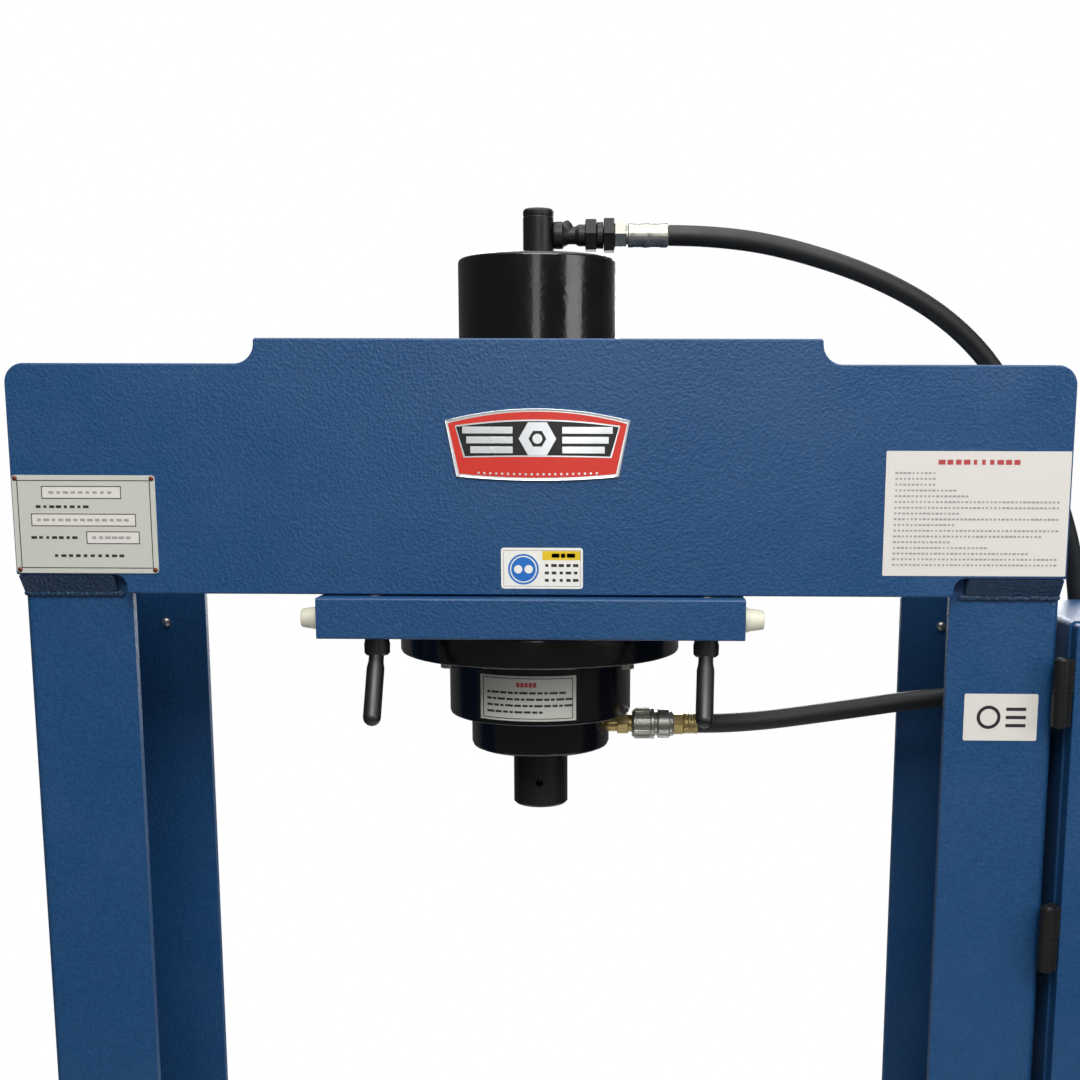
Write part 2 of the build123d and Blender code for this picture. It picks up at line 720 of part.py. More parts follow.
# ---------------------------------------------------------------- table
with BuildPart() as table_beams:
    for side in (-1, 1):
        inner = sorted((side * table_inside, side * (table_inside + table_web)))
        flanges = sorted((side * table_inside, side * (table_inside + table_flange)))
        length = (-table_half_length, table_half_length)
        block(length, inner, (table_bottom, table_top))
        block(length, flanges, (table_bottom, table_bottom + table_flange_wall))
        block(length, flanges, (table_top - table_flange_wall, table_top))
write(table_beams, "table_beams")

with BuildPart() as table_spacers:
    spacer_reach = table_half_length * 2 / 3
    for x in (-spacer_reach, -spacer_reach / 3, spacer_reach / 3, spacer_reach):
        block((x - table_web, x + table_web), (-table_inside, table_inside),
              (table_bottom + table_flange_wall, table_top - 2 * table_flange_wall))
write(table_spacers, "table_spacers")

for name, x in (("left", -leg_middle), ("right", leg_middle)):
    with BuildPart() as table_pin:
        z = pin_hole_first
        head = -leg_front - 2
        bar((x, head, z), (x, leg_front + leg_wall, z), pin_radius)
        chamfer(table_pin.edges().filter_by(GeomType.CIRCLE).group_by(Axis.Y)[-1], 3)
        bar((x, head - 12, z), (x, head, z), pin_radius + 7)
        bar((x, head - 32, z), (x, head - 12, z), 8)
        bar((x, head - 46, z), (x, head - 32, z), 16)
        fillet(table_pin.edges().filter_by(GeomType.CIRCLE).group_by(Axis.Y)[0], 4)
    write(table_pin, f"{name}_table_pin")

for name, side in (("left", -1), ("right", 1)):
    x = side * block_offset
    with BuildPart() as v_block:
        with BuildSketch(Plane.XZ.offset(-block_depth / 2)):
            bottom = table_top + free
            top = bottom + block_height
            with BuildLine():
                Polyline(
                    (x - block_length / 2, bottom), (x + block_length / 2, bottom),
                    (x + block_length / 2, top), (x + block_groove / 2, top),
                    (x, top - block_groove / 2), (x - block_groove / 2, top),
                    (x - block_length / 2, top), close=True,
                )
            make_face()
        extrude(amount=block_depth)
    write(v_block, f"{name}_v_block")

# ---------------------------------------------------------------- power unit cabinet
cabinet_floor = cabinet_bottom + cabinet_sheet
elbow_height = upper_end[2] - 72.0

with BuildPart() as cabinet_shell:
    depth = (cabinet_front, cabinet_back)
    height = (cabinet_bottom, cabinet_top)
    between_walls = (cabinet_left + cabinet_sheet + seat, cabinet_right - cabinet_sheet - seat)
    block((cabinet_left, cabinet_left + cabinet_sheet), depth, height)
    block((cabinet_right - cabinet_sheet, cabinet_right), depth, height)
    block(between_walls, depth, (cabinet_bottom, cabinet_floor))
    block(between_walls, depth, (cabinet_top - cabinet_sheet, cabinet_top))
    block(between_walls, (cabinet_back - cabinet_sheet, cabinet_back),
          (cabinet_floor + seat, cabinet_top - cabinet_sheet - seat))
    bar((cabinet_left - cut, 0, web_hole_height), (cabinet_left + 20, 0, web_hole_height),
        web_hole_radius, mode=Mode.SUBTRACT)
    bar((upper_end[0], cabinet_back - 20, elbow_height), (upper_end[0], cabinet_back + cut, elbow_height),
        pipe_radius + seat, mode=Mode.SUBTRACT)
write(cabinet_shell, "cabinet_shell")

with BuildPart() as cabinet_mounts:
    for z in (cabinet_bottom + mount_inset[0], cabinet_top - mount_inset[1]):
        block((half_width, cabinet_left), (-mount_size, mount_size), (z, z + mount_size))
write(cabinet_mounts, "cabinet_mounts")

with BuildPart() as hose_grommets:
    z = web_hole_height
    bar((web_inside - 2, 0, z), (half_width + 2, 0, z), web_hole_radius - seat)
    bar((cabinet_left - 2, 0, z), (cabinet_left + cabinet_sheet + 2, 0, z), web_hole_radius - seat)
    bar((web_inside - 3, 0, z), (cabinet_left + cabinet_sheet + 3, 0, z), hose_radius + 2.5,
        mode=Mode.SUBTRACT)
write(hose_grommets, "hose_grommets")

with BuildPart() as oil_tank:
    tank_x = (cabinet_left + tank_gaps[0], cabinet_right - tank_gaps[1])
    tank_y = (cabinet_front + tank_gaps[2], cabinet_back - tank_gaps[3])
    block(tank_x, tank_y, (cabinet_floor, tank_top))
    fillet(oil_tank.edges().filter_by(Axis.Z), tank_corner)
    block((tank_x[0] + tank_wall, tank_x[1] - tank_wall), (tank_y[0] + tank_wall, tank_y[1] - tank_wall),
          (cabinet_floor + tank_wall, tank_top - tank_lid), mode=Mode.SUBTRACT)
    bar((motor_x, motor_y, tank_top - tank_lid - cut), (motor_x, motor_y, tank_top + cut), motor_radius - 18,
        mode=Mode.SUBTRACT)
write(oil_tank, "oil_tank")

with BuildPart() as pump_motor:
    foot_top = tank_top + motor_foot
    body_top = foot_top + motor_body
    bar((motor_x, motor_y, tank_top), (motor_x, motor_y, foot_top), motor_radius + 10)
    bar((motor_x, motor_y, foot_top), (motor_x, motor_y, body_top), motor_radius - 6)
    bar((motor_x, motor_y, body_top), (motor_x, motor_y, body_top + motor_cover), motor_radius)
    fillet(pump_motor.edges().filter_by(GeomType.CIRCLE).group_by(Axis.Z)[-1], 8)
    fin_middle = (foot_top + body_top) / 2 - 0.5
    for i in range(fin_count):
        with Locations(Location((motor_x, motor_y, fin_middle), (0, 0, 360 / fin_count * i))):
            with Locations((motor_radius - fin_depth / 2, 0, 0)):
                Box(fin_depth, fin_thickness, fin_length)
    terminal_y = motor_y - motor_radius
    block((motor_x - terminal_half_width, motor_x + terminal_half_width),
          (terminal_y - terminal_depth / 2, terminal_y + terminal_depth / 2),
          (tank_top + terminal_rise[0], tank_top + terminal_rise[1]))
write(pump_motor, "pump_motor")

with BuildPart() as hydraulic_pump:
    flange_low = tank_top - pump_flange
    body_low = flange_low - pump_body
    intake_x = motor_x - intake_offset
    bar((motor_x, motor_y, flange_low), (motor_x, motor_y, tank_top - seat), motor_radius - 19)
    bar((motor_x, motor_y, body_low), (motor_x, motor_y, flange_low), motor_radius - 30)
    bar((intake_x, motor_y, body_low - intake_length), (intake_x, motor_y, body_low), intake_radius)
write(hydraulic_pump, "hydraulic_pump")

with BuildPart() as valve_block:
    valve_y = (valve_front + valve_back) / 2
    block((valve_left, valve_left + valve_side), (valve_front, valve_back), (valve_bottom, valve_top))
    chamfer(valve_block.edges(), 3)
    bar((valve_left + valve_side / 2, valve_y, tank_top),
        (valve_left + valve_side / 2, valve_y, valve_bottom + cut), pedestal_radius)
    for offset in coil_offsets:
        coil_x = valve_left + offset
        coil_z = valve_top - coil_drop
        bar((coil_x, valve_front - coil_length, coil_z), (coil_x, valve_front + cut, coil_z), coil_radius)
write(valve_block, "valve_block")

with BuildPart() as cabinet_fittings:
    x, y, z = upper_end
    nut_z = z - tail_length
    bar((x, y, z), (x, y, nut_z), ferrule_radius)
    hexagon((x, y, nut_z), (x, y, nut_z - pipe_nut_height), pipe_nut_flats)
    bar((x, y, nut_z - pipe_nut_height), (x, y, elbow_height), pipe_radius)
    with Locations((x, y, elbow_height)):
        Sphere(pipe_radius + 2)
    bar((x, y, elbow_height), (x, valve_back, elbow_height), pipe_radius)
    hexagon((x, cabinet_back + seat, elbow_height), (x, cabinet_back + 9, elbow_height), bulkhead_nut_flats)
    x, y, z = lower_end
    bar((x, y, z), (x + 24, y, z), ferrule_radius)
    hexagon((x + 24, y, z), (valve_left, y, z), pipe_nut_flats)
write(cabinet_fittings, "cabinet_fittings")

# ---------------------------------------------------------------- cabinet door
door_x = (door_left, cabinet_right - door_gap)
door_z = (cabinet_bottom + door_gap, cabinet_top - door_gap)

with BuildPart() as cabinet_door:
    block(door_x, (door_front, door_back), door_z)
    fillet(cabinet_door.edges().filter_by(Axis.Y), 4)
    chamfer(cabinet_door.edges().group_by(Axis.Y)[0], 1)
    block((door_x[0] + cabinet_sheet, door_x[1] - cabinet_sheet),
          (door_front + cabinet_sheet, door_back + cut),
          (door_z[0] + cabinet_sheet, door_z[1] - cabinet_sheet), mode=Mode.SUBTRACT)
    for i in (-1, 0, 1):
        x = panel_x + i * button_pitch
        bar((x, door_front - cut, button_z), (x, door_back, button_z), button_radius - 4 + free,
            mode=Mode.SUBTRACT)
write(cabinet_door, "cabinet_door")

with BuildPart() as hinge_frame_halves:
    for top in hinge_tops:
        bottom = top - hinge_height
        middle = bottom + hinge_height / 2
        bar((hinge_x, hinge_y, bottom), (hinge_x, hinge_y, middle), knuckle_radius)
        block((hinge_x + 4, cabinet_left), (hinge_y - 3, hinge_y + 43), (bottom, middle))
        bar((hinge_x, hinge_y, middle - cut), (hinge_x, hinge_y, top - 4), hinge_pin_radius)
write(hinge_frame_halves, "hinge_frame_halves")

with BuildPart() as hinge_door_halves:
    for top in hinge_tops:
        middle = top - hinge_height / 2 + free
        bar((hinge_x, hinge_y, middle), (hinge_x, hinge_y, top), knuckle_radius)
        block((hinge_x + 4, door_left), (door_front, door_back - 2), (middle, top))
        bar((hinge_x, hinge_y, middle - cut), (hinge_x, hinge_y, top - 3), hinge_pin_radius + running,
            mode=Mode.SUBTRACT)
write(hinge_door_halves, "hinge_door_halves")

with BuildPart() as door_handle:
    handle_x = cabinet_right - handle_inset
    handle_y = door_front - handle_reach
    foot_heights = (cabinet_bottom + handle_rise, cabinet_bottom + handle_rise + handle_length)
    for z in foot_heights:
        bar((handle_x, door_front, z), (handle_x, handle_y, z), handle_radius)
        with Locations((handle_x, handle_y, z)):
            Sphere(handle_radius)
    bar((handle_x, handle_y, foot_heights[0]), (handle_x, handle_y, foot_heights[1]), handle_radius)
write(door_handle, "door_handle")

with BuildPart() as gauge_case:
    bar((panel_x, door_front, gauge_z), (panel_x, door_front - gauge_depth, gauge_z), gauge_radius)
    fillet(gauge_case.edges().filter_by(GeomType.CIRCLE).group_by(Axis.Y)[0], 3)
    dial_y = door_front - dial_depth
    bar((panel_x, dial_y, gauge_z), (panel_x, door_front - gauge_depth - cut, gauge_z), gauge_radius - 5,
        mode=Mode.SUBTRACT)
    bar((panel_x, dial_y + cut, gauge_z), (panel_x, dial_y - 3, gauge_z), 2)
write(gauge_case, "gauge_case")

with BuildPart() as gauge_needle:
    with BuildSketch(Plane.XZ.offset(-door_front + 16)):
        with Locations((panel_x, gauge_z)):
            Circle(needle_radius)
            with Locations(Location((0, 0), rest_angle)):
                with Locations((14, 0)):
                    Rectangle(needle_length, needle_width)
    extrude(amount=2)
write(gauge_needle, "gauge_needle")

for i, name, cap_radius in ((-1, "up_button", 13), (0, "down_button", 13), (1, "stop_button", 20)):
    with BuildPart() as button:
        x = panel_x + i * button_pitch
        cap_back = door_front - button_stand_off
        bar((x, door_back - 2, button_z), (x, cap_back, button_z), button_radius - 4)
        bar((x, cap_back, button_z), (x, cap_back - button_cap_depth, button_z), cap_radius)
        fillet(button.edges().filter_by(GeomType.CIRCLE).group_by(Axis.Y)[0], 3)
    write(button, name)

# ---------------------------------------------------------------- plates and labels
badge_height = head_bottom + 154.0
badge_width = 187.0

with BuildPart() as name_badge:
    with BuildSketch(Plane.XZ.offset(head_front)):
        with BuildLine():
            half = badge_width / 2
            ThreePointArc((-half, badge_height + 23), (0, badge_height + 35), (half, badge_height + 23))
            Line((half, badge_height + 23), (half - 11, badge_height - 33))
            ThreePointArc((half - 11, badge_height - 33), (0, badge_height - 37),
                          (11 - half, badge_height - 33))
            Line((11 - half, badge_height - 33), (-half, badge_height + 23))
        make_face()
    extrude(amount=2.5)
write(name_badge, "name_badge")

with BuildPart() as data_plate:
    block((-half_width + 2, -half_width + 149), (-head_front - 1.5, -head_front),
          (saddle + 2, saddle + 102))
    fillet(data_plate.edges().filter_by(Axis.Y), 3)
write(data_plate, "data_plate")

with BuildPart() as warning_labels:
    label = 0.6
    block((half_width - 188, half_width - 2), (-head_front - label, -head_front), (saddle + 3, saddle + 129))
    block((-38, 46), (-head_front - label, -head_front), (head_bottom + 7, head_bottom + 49))
    block((leg_mouth + 20, leg_mouth + 97), (-leg_front - label, -leg_front),
          (leg_bolt_height - 89, leg_bolt_height - 39))
write(warning_labels, "warning_labels")

with BuildPart() as notice_plate:
    plate_z = (gland_bottom + 7, gland_bottom + 56)
    middle_angle = 265
    half_angle = 30
    with BuildSketch(Plane.XY.offset(plate_z[0])):
        with BuildLine():
            inner = CenterArc((carriage_x, 0), gland_radius + seat, middle_angle - half_angle,
                              half_angle * 2)
            outer = CenterArc((carriage_x, 0), gland_radius + 2, middle_angle - half_angle,
                              half_angle * 2)
            Line(inner @ 0, outer @ 0)
            Line(inner @ 1, outer @ 1)
        make_face()
    extrude(amount=plate_z[1] - plate_z[0])
write(notice_plate, "notice_plate")
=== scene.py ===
"""Looks of an H-frame hydraulic press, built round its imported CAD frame. Metres, +Z up, front faces -Y."""
import json
import logging
import math
from dataclasses import dataclass, field
from enum import Enum
from typing import Iterable, Sequence

import bmesh
import bpy
from mathutils import Matrix, Vector

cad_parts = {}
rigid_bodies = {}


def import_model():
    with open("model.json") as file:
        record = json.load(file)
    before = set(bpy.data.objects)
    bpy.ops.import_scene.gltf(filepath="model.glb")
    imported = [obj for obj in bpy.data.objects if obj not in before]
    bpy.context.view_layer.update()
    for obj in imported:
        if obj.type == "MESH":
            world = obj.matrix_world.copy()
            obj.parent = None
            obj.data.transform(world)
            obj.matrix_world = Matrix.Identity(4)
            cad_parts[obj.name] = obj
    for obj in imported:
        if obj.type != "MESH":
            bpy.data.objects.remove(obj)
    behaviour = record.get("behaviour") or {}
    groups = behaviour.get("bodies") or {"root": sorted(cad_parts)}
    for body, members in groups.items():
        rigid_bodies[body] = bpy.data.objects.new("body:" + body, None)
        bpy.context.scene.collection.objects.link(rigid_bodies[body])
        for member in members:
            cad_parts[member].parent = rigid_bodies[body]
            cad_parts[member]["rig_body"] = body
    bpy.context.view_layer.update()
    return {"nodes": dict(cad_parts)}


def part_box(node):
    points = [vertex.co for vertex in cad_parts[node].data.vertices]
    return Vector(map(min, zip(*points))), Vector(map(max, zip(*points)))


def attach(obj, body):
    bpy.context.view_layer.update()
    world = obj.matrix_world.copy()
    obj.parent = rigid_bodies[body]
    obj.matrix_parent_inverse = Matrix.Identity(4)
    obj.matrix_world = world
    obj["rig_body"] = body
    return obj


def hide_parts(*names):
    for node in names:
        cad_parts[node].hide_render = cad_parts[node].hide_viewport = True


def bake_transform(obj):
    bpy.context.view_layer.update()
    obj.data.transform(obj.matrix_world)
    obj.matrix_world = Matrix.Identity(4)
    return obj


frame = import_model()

LOG = logging.getLogger("press")
MM = 0.001
SEED = 11
Point = Sequence[float]
Profile = Sequence[tuple[float, float]]
Outline = list[tuple[float, float]]
FORWARD, BACKWARD, RIGHTWARD = (0, -1, 0), (0, 1, 0), (1, 0, 0)
UPRIGHT = Matrix.Identity(4)


# ---------------------------------------------------------------- shared tools
def linear(code: str) -> tuple[float, float, float, float]:
    """Turn an sRGB hex colour to linear light.

    Args:
        code: six hex digits, such as "2f5680".

    Returns:
        Linear red, green, blue and an alpha of one.
    """
    parts = [int(code[i:i + 2], 16) / 255 for i in (0, 2, 4)]
    red, green, blue = (c / 12.92 if c <= 0.04045 else ((c + 0.055) / 1.055) ** 2.4 for c in parts)
    return (red, green, blue, 1.0)


def add_node(tree: bpy.types.NodeTree, kind: str, inputs: dict | None = None, **settings) -> bpy.types.Node:
    """Add a node with its settings, constants and links.

    Args:
        tree: the tree that gets the node.
        kind: the node's type name.
        inputs: input name or number, to a constant or to the socket that feeds it.
        settings: attributes of the node itself.

    Returns:
        The new node.
    """
    node = tree.nodes.new(kind)
    for name, value in settings.items():
        setattr(node, name, value)
    for name, value in (inputs or {}).items():
        socket = node.inputs[name]
        if isinstance(value, bpy.types.NodeSocket):
            tree.links.new(value, socket)
        else:
            socket.default_value = value
    return node


def frame_along(start: Point, end: Point) -> Matrix:
    """The placing matrix whose Z runs from one point to another.

    Args:
        start: the origin.
        end: a point on the positive Z axis.

    Returns:
        A 4x4 matrix.
    """
    along = Vector(end) - Vector(start)
    return Matrix.Translation(Vector(start)) @ along.to_track_quat("Z", "Y").to_matrix().to_4x4()


def facing(at: Point, way: Point) -> Matrix:
    """The placing matrix at a point whose Z looks one way.

    Args:
        at: the origin.
        way: the direction of the positive Z axis.

    Returns:
        A 4x4 matrix.
    """
    return frame_along(at, Vector(at) + Vector(way))


def link(name: str, data: bpy.types.ID) -> bpy.types.Object:
    """Make an object of some data and put it in the scene."""
    made = bpy.data.objects.new(name, data)
    bpy.context.scene.collection.objects.link(made)
    return made


def final_mesh(carrier: bpy.types.Object, remove: bool = True) -> bpy.types.Mesh:
    """The plain mesh that an object's modifiers or bevel end in.

    Args:
        carrier: the object, which is in the scene.
        remove: whether it has done its work and goes.

    Returns:
        A new mesh.
    """
    bpy.context.view_layer.update()
    data = bpy.data.meshes.new_from_object(carrier.evaluated_get(bpy.context.evaluated_depsgraph_get()))
    if remove:
        bpy.data.objects.remove(carrier)
    return data


class Side(Enum):
    """Left or right half of the press, seen from the front."""
    LEFT = -1
    RIGHT = 1


# ---------------------------------------------------------------- finishes
class Relief(Enum):
    """How a surface was made, which sets the pattern of its bump."""
    PEBBLED = "sprayed textured powder"
    FLOWED = "sprayed gloss paint"
    TURNED = "turned on a lathe"
    BRUSHED = "ground or brushed one way"
    CAST = "cast or blackened"
    MOULDED = "moulded"


@dataclass(frozen=True)
class Finish:
    """A real finish: its colours, how it reflects, and its relief at its real size.

    Colour and second are the two tones that patches of patch_mm drift between. Roughness drifts by spread
    either way. Grain_mm and depth_mm size the relief. The grain-light colour, where given, is painted where
    the relief's height is high: painted light that makes the grain show as lit specks.
    """
    name: str
    colour: str
    second: str
    roughness: float
    relief: Relief
    grain_mm: float
    depth_mm: float
    metallic: float = 0.0
    ior: float = 1.5
    coat: float = 0.0
    spread: float = 0.08
    patch_mm: float = 90.0
    strength: float = 0.5
    axis: str = "Z"
    painted_grain_light: str = ""

    def build(self) -> bpy.types.Material:
        """Make the material, or return the one made before.

        Returns:
            The Blender material.
        """
        known = bpy.data.materials.get(self.name)
        if known:
            return known
        material = bpy.data.materials.new(self.name)
        material.use_nodes = True
        tree = material.node_tree
        shader = tree.nodes["Principled BSDF"]
        shader.inputs["Metallic"].default_value = self.metallic
        shader.inputs["Coat Weight"].default_value = self.coat
        shader.inputs["Coat Roughness"].default_value = 0.06
        if not self.metallic:
            shader.inputs["IOR"].default_value = self.ior
        place = add_node(tree, "ShaderNodeTexCoord").outputs["Object"]
        patches = add_node(tree, "ShaderNodeTexNoise", {
            "Vector": place, "Scale": 1 / (self.patch_mm * MM), "Detail": 4.0, "Roughness": 0.6})
        colour = add_node(tree, "ShaderNodeMix", {
            0: patches.outputs[0], 6: linear(self.colour), 7: linear(self.second)},
            data_type="RGBA").outputs[2]
        height = self._relief(tree, place)
        # Painted light: a paler colour mixed in where the relief's height is high, so the grain shows as lit
        # specks.
        if self.painted_grain_light:
            grain_light_mask = add_node(tree, "ShaderNodeMapRange", {
                "Value": height, "From Min": 0.55, "From Max": 1.25, "To Min": 0.0, "To Max": 1.0})
            colour = add_node(tree, "ShaderNodeMix", {0: grain_light_mask.outputs[0], 6: colour, 7: linear(self.painted_grain_light)},
                              data_type="RGBA").outputs[2]
        tree.links.new(colour, shader.inputs["Base Color"])
        rough = add_node(tree, "ShaderNodeMapRange", {
            "Value": patches.outputs[0], "From Min": 0.3, "From Max": 0.7,
            "To Min": max(self.roughness - self.spread, 0.02), "To Max": self.roughness + self.spread})
        tree.links.new(rough.outputs[0], shader.inputs["Roughness"])
        bump = add_node(tree, "ShaderNodeBump", {
            "Height": height, "Strength": self.strength, "Distance": self.depth_mm * MM})
        tree.links.new(bump.outputs[0], shader.inputs["Normal"])
        return material

    def _relief(self, tree: bpy.types.NodeTree, place: bpy.types.NodeSocket) -> bpy.types.NodeSocket:
        """Add the height pattern of this finish.

        Args:
            tree: the material's tree.
            place: object coordinates.

        Returns:
            The socket that gives the height.
        """
        scale = 1 / (self.grain_mm * MM)
        if self.relief is Relief.PEBBLED:
            cells = add_node(tree, "ShaderNodeTexVoronoi", {
                "Vector": place, "Scale": scale, "Randomness": 1.0}, feature="F1")
            soft = add_node(tree, "ShaderNodeTexNoise", {
                "Vector": place, "Scale": scale * 0.6, "Detail": 3.0})
            return add_node(tree, "ShaderNodeMath", {0: cells.outputs["Distance"], 1: soft.outputs[0]},
                            operation="ADD").outputs[0]
        if self.relief is Relief.TURNED:
            return add_node(tree, "ShaderNodeTexWave", {
                "Vector": place, "Scale": scale / 6.0, "Distortion": 0.6, "Detail": 2.0},
                wave_type="BANDS", bands_direction=self.axis).outputs["Fac"]
        if self.relief is Relief.BRUSHED:
            thin = tuple(0.04 if letter == self.axis else 1.0 for letter in "XYZ")
            turned = add_node(tree, "ShaderNodeMapping", {"Vector": place, "Scale": thin}).outputs[0]
            return add_node(tree, "ShaderNodeTexNoise", {
                "Vector": turned, "Scale": scale, "Detail": 3.0}).outputs[0]
        detail = {Relief.FLOWED: 1.0, Relief.CAST: 6.0, Relief.MOULDED: 2.0}[self.relief]
        return add_node(tree, "ShaderNodeTexNoise", {
            "Vector": place, "Scale": scale, "Detail": detail, "Roughness": 0.55}).outputs[0]


# Polyester powder coat, sprayed as a fine pebble: satin, a grain of about 3 mm, its high places painted a
# little paler as painted light on the grain.
BLUE = Finish("pebbled_blue_powder_coat", "123d66", "14406a", 0.42, Relief.PEBBLED, 3.2, 0.45, strength=0.8,
              painted_grain_light="1c4874")
# The same blue powder coat painted darker and duller: painted shade for the downward-facing weld band under
# the head plates.
PAINTED_SHADE_BLUE = Finish("blue_powder_coat_underside", "173654", "17334e", 0.55, Relief.PEBBLED, 3.6, 1.4,
                   strength=1.0)
# Alkyd gloss enamel over turned steel: near black, deep reflections that waver a little.
BLACK_GLOSS = Finish("black_gloss_enamel", "080707", "0b0909", 0.2, Relief.FLOWED, 7.0, 0.5, coat=0.3,
                     strength=0.5)
# Hot-oxide blackened steel, turned: dull dark metal with rings that are drawn coarse enough to show.
BLACK_OXIDE = Finish("black_oxide_turned_steel", "242424", "2c2c2b", 0.42, Relief.TURNED, 1.6, 0.12,
                     metallic=0.6, strength=0.3)
# Case-hardened steel, ground: bright, finely scratched.
GROUND = Finish("ground_steel", "b9babb", "a4a6a8", 0.28, Relief.BRUSHED, 1.2, 0.06, metallic=1.0,
                strength=0.3, axis="X")
# Bright zinc plate over turned steel: pale grey metal with a slightly cloudy sheen.
ZINC = Finish("bright_zinc_plate", "b6b5ab", "a2a198", 0.3, Relief.CAST, 3.0, 0.08, metallic=0.8,
              strength=0.3, patch_mm=14.0)
# Yellow chromated zinc, as on pipe unions: pale gold metal with uneven colour.
YELLOW_ZINC = Finish("yellow_chromate_zinc", "b99f5c", "a0946a", 0.32, Relief.CAST, 2.0, 0.08, metallic=0.6,
                     strength=0.3, patch_mm=12.0)
# Grey iron casting, oiled: dark and grainy.
CAST_IRON = Finish("oiled_cast_iron", "303130", "3b3a37", 0.5, Relief.CAST, 2.5, 0.5, metallic=0.5)
# Machine enamel on sheet and castings: satin blue-grey.
GREY_PAINT = Finish("grey_machine_enamel", "5f656b", "585e64", 0.4, Relief.PEBBLED, 2.4, 0.3, strength=0.3)
# Milled aluminium block: pale with fine straight tool marks.
ALUMINIUM = Finish("milled_aluminium", "c9cacb", "b8babd", 0.32, Relief.BRUSHED, 1.5, 0.1, metallic=1.0,
                   strength=0.3, axis="Z")
# Synthetic rubber hose cover, extruded: matt black-grey with a fine cloth imprint.
RUBBER = Finish("nitrile_hose_cover", "0c0e0d", "121413", 0.58, Relief.MOULDED, 1.4, 0.35, ior=1.52)
# Polyurethane wiper and seals: matt brown-black.
SEAL = Finish("polyurethane_seal", "2b241c", "332b22", 0.6, Relief.MOULDED, 1.2, 0.2, ior=1.5)
# Turned nylon buffers: cream, slightly waxy.
NYLON = Finish("cream_nylon", "d9d6bd", "cfcbae", 0.36, Relief.TURNED, 1.4, 0.15, ior=1.53, axis="X",
               strength=0.4)
# Moulded phenolic for levers and cases: black with a soft sheen.
PHENOLIC = Finish("black_phenolic", "101010", "151514", 0.44, Relief.MOULDED, 1.5, 0.12, ior=1.6)
GREEN_CAP = Finish("green_acrylic", "177a34", "146c2e", 0.22, Relief.MOULDED, 2.0, 0.05)
WHITE_CAP = Finish("white_acrylic", "dcdcd8", "d2d2ce", 0.24, Relief.MOULDED, 2.0, 0.05)
RED_CAP = Finish("red_acrylic", "b3170f", "a2130d", 0.24, Relief.MOULDED, 2.0, 0.05)
# Printed vinyl film: off-white, faintly pink and grey, almost flat.
VINYL = Finish("white_vinyl_film", "dcd8d2", "d6d2cb", 0.38, Relief.MOULDED, 6.0, 0.08, strength=0.3)
VINYL_WHITE = Finish("clean_white_vinyl", "eceae2", "e6e4dc", 0.36, Relief.MOULDED, 6.0, 0.08, strength=0.3)
VINYL_RED = Finish("red_print", "b8474a", "ad4246", 0.4, Relief.MOULDED, 4.0, 0.05)
VINYL_GREY = Finish("grey_print", "9b9294", "a39b9c", 0.45, Relief.MOULDED, 4.0, 0.05)
VINYL_BLUE = Finish("blue_print", "1f6fc0", "1c68b4", 0.38, Relief.MOULDED, 4.0, 0.05)
VINYL_YELLOW = Finish("yellow_print", "e3c01c", "dcb91a", 0.38, Relief.MOULDED, 4.0, 0.05)
INK = Finish("black_print", "26262a", "2d2d30", 0.42, Relief.MOULDED, 4.0, 0.05)
# Anodised label aluminium: satin grey, brushed along its length.
LABEL_METAL = Finish("satin_label_aluminium", "cfd0c6", "c7c8bf", 0.4, Relief.BRUSHED, 0.9, 0.05,
                     metallic=0.15, strength=0.3, axis="X", patch_mm=40.0)
# Bright die-struck rim, red and black vitreous enamel on the badge.
BRIGHT_RIM = Finish("polished_rim", "e0e2e3", "cfd2d4", 0.24, Relief.CAST, 6.0, 0.05, metallic=0.5)
# Copper blind rivets, slightly tarnished.
COPPER = Finish("tarnished_copper", "7a3f30", "6b3a30", 0.35, Relief.CAST, 1.5, 0.05, metallic=0.7)
RED_ENAMEL = Finish("red_enamel", "cf2f20", "c02a1e", 0.34, Relief.FLOWED, 8.0, 0.1)
BLACK_ENAMEL = Finish("black_enamel", "0b0b0e", "0f0f12", 0.34, Relief.FLOWED, 8.0, 0.1)


# ---------------------------------------------------------------- mesh tools
def to_object(mesh: bmesh.types.BMesh, name: str, finish: Finish, sharp: float = 38.0) -> bpy.types.Object:
    """Turn a bmesh into a finished object at the origin.

    Args:
        mesh: the shape, which is freed.
        name: the object's name.
        finish: its finish.
        sharp: edges over this angle in degrees stay crisp.

    Returns:
        The object.
    """
    data = bpy.data.meshes.new(name)
    mesh.to_mesh(data)
    mesh.free()
    return dress(data, name, finish, sharp)


def dress(data: bpy.types.Mesh, name: str, finish: Finish, sharp: float = 38.0) -> bpy.types.Object:
    """Link a mesh as an object, with its finish and smooth shading.

    Args:
        data: the mesh.
        name: the object's name.
        finish: its finish.
        sharp: edges over this angle in degrees stay crisp.

    Returns:
        The object.
    """
    data.materials.clear()
    data.materials.append(finish.build())
    data.shade_smooth()
    data.set_sharp_from_angle(angle=math.radians(sharp))
    shape = link(f"{name}_shape", data)
    flat = shape.modifiers.new("large faces stay flat", "WEIGHTED_NORMAL")
    flat.keep_sharp = True
    return link(name, final_mesh(shape))


def round_edges(mesh: bmesh.types.BMesh, width: float, least: float = 30.0, segments: int = 2) -> None:
    """Round every edge that is sharper than an angle.

    Args:
        mesh: the shape to change.
        width: how far from the edge the rounding starts.
        least: the smallest angle between two faces that counts, in degrees.
        segments: faces across the rounding.
    """
    edges = [e for e in mesh.edges if len(e.link_faces) == 2
             and e.calc_face_angle(0.0) > math.radians(least)]
    if edges:
        bmesh.ops.bevel(mesh, geom=edges, offset=width, segments=segments, profile=0.5,
                        affect="EDGES", clamp_overlap=True)


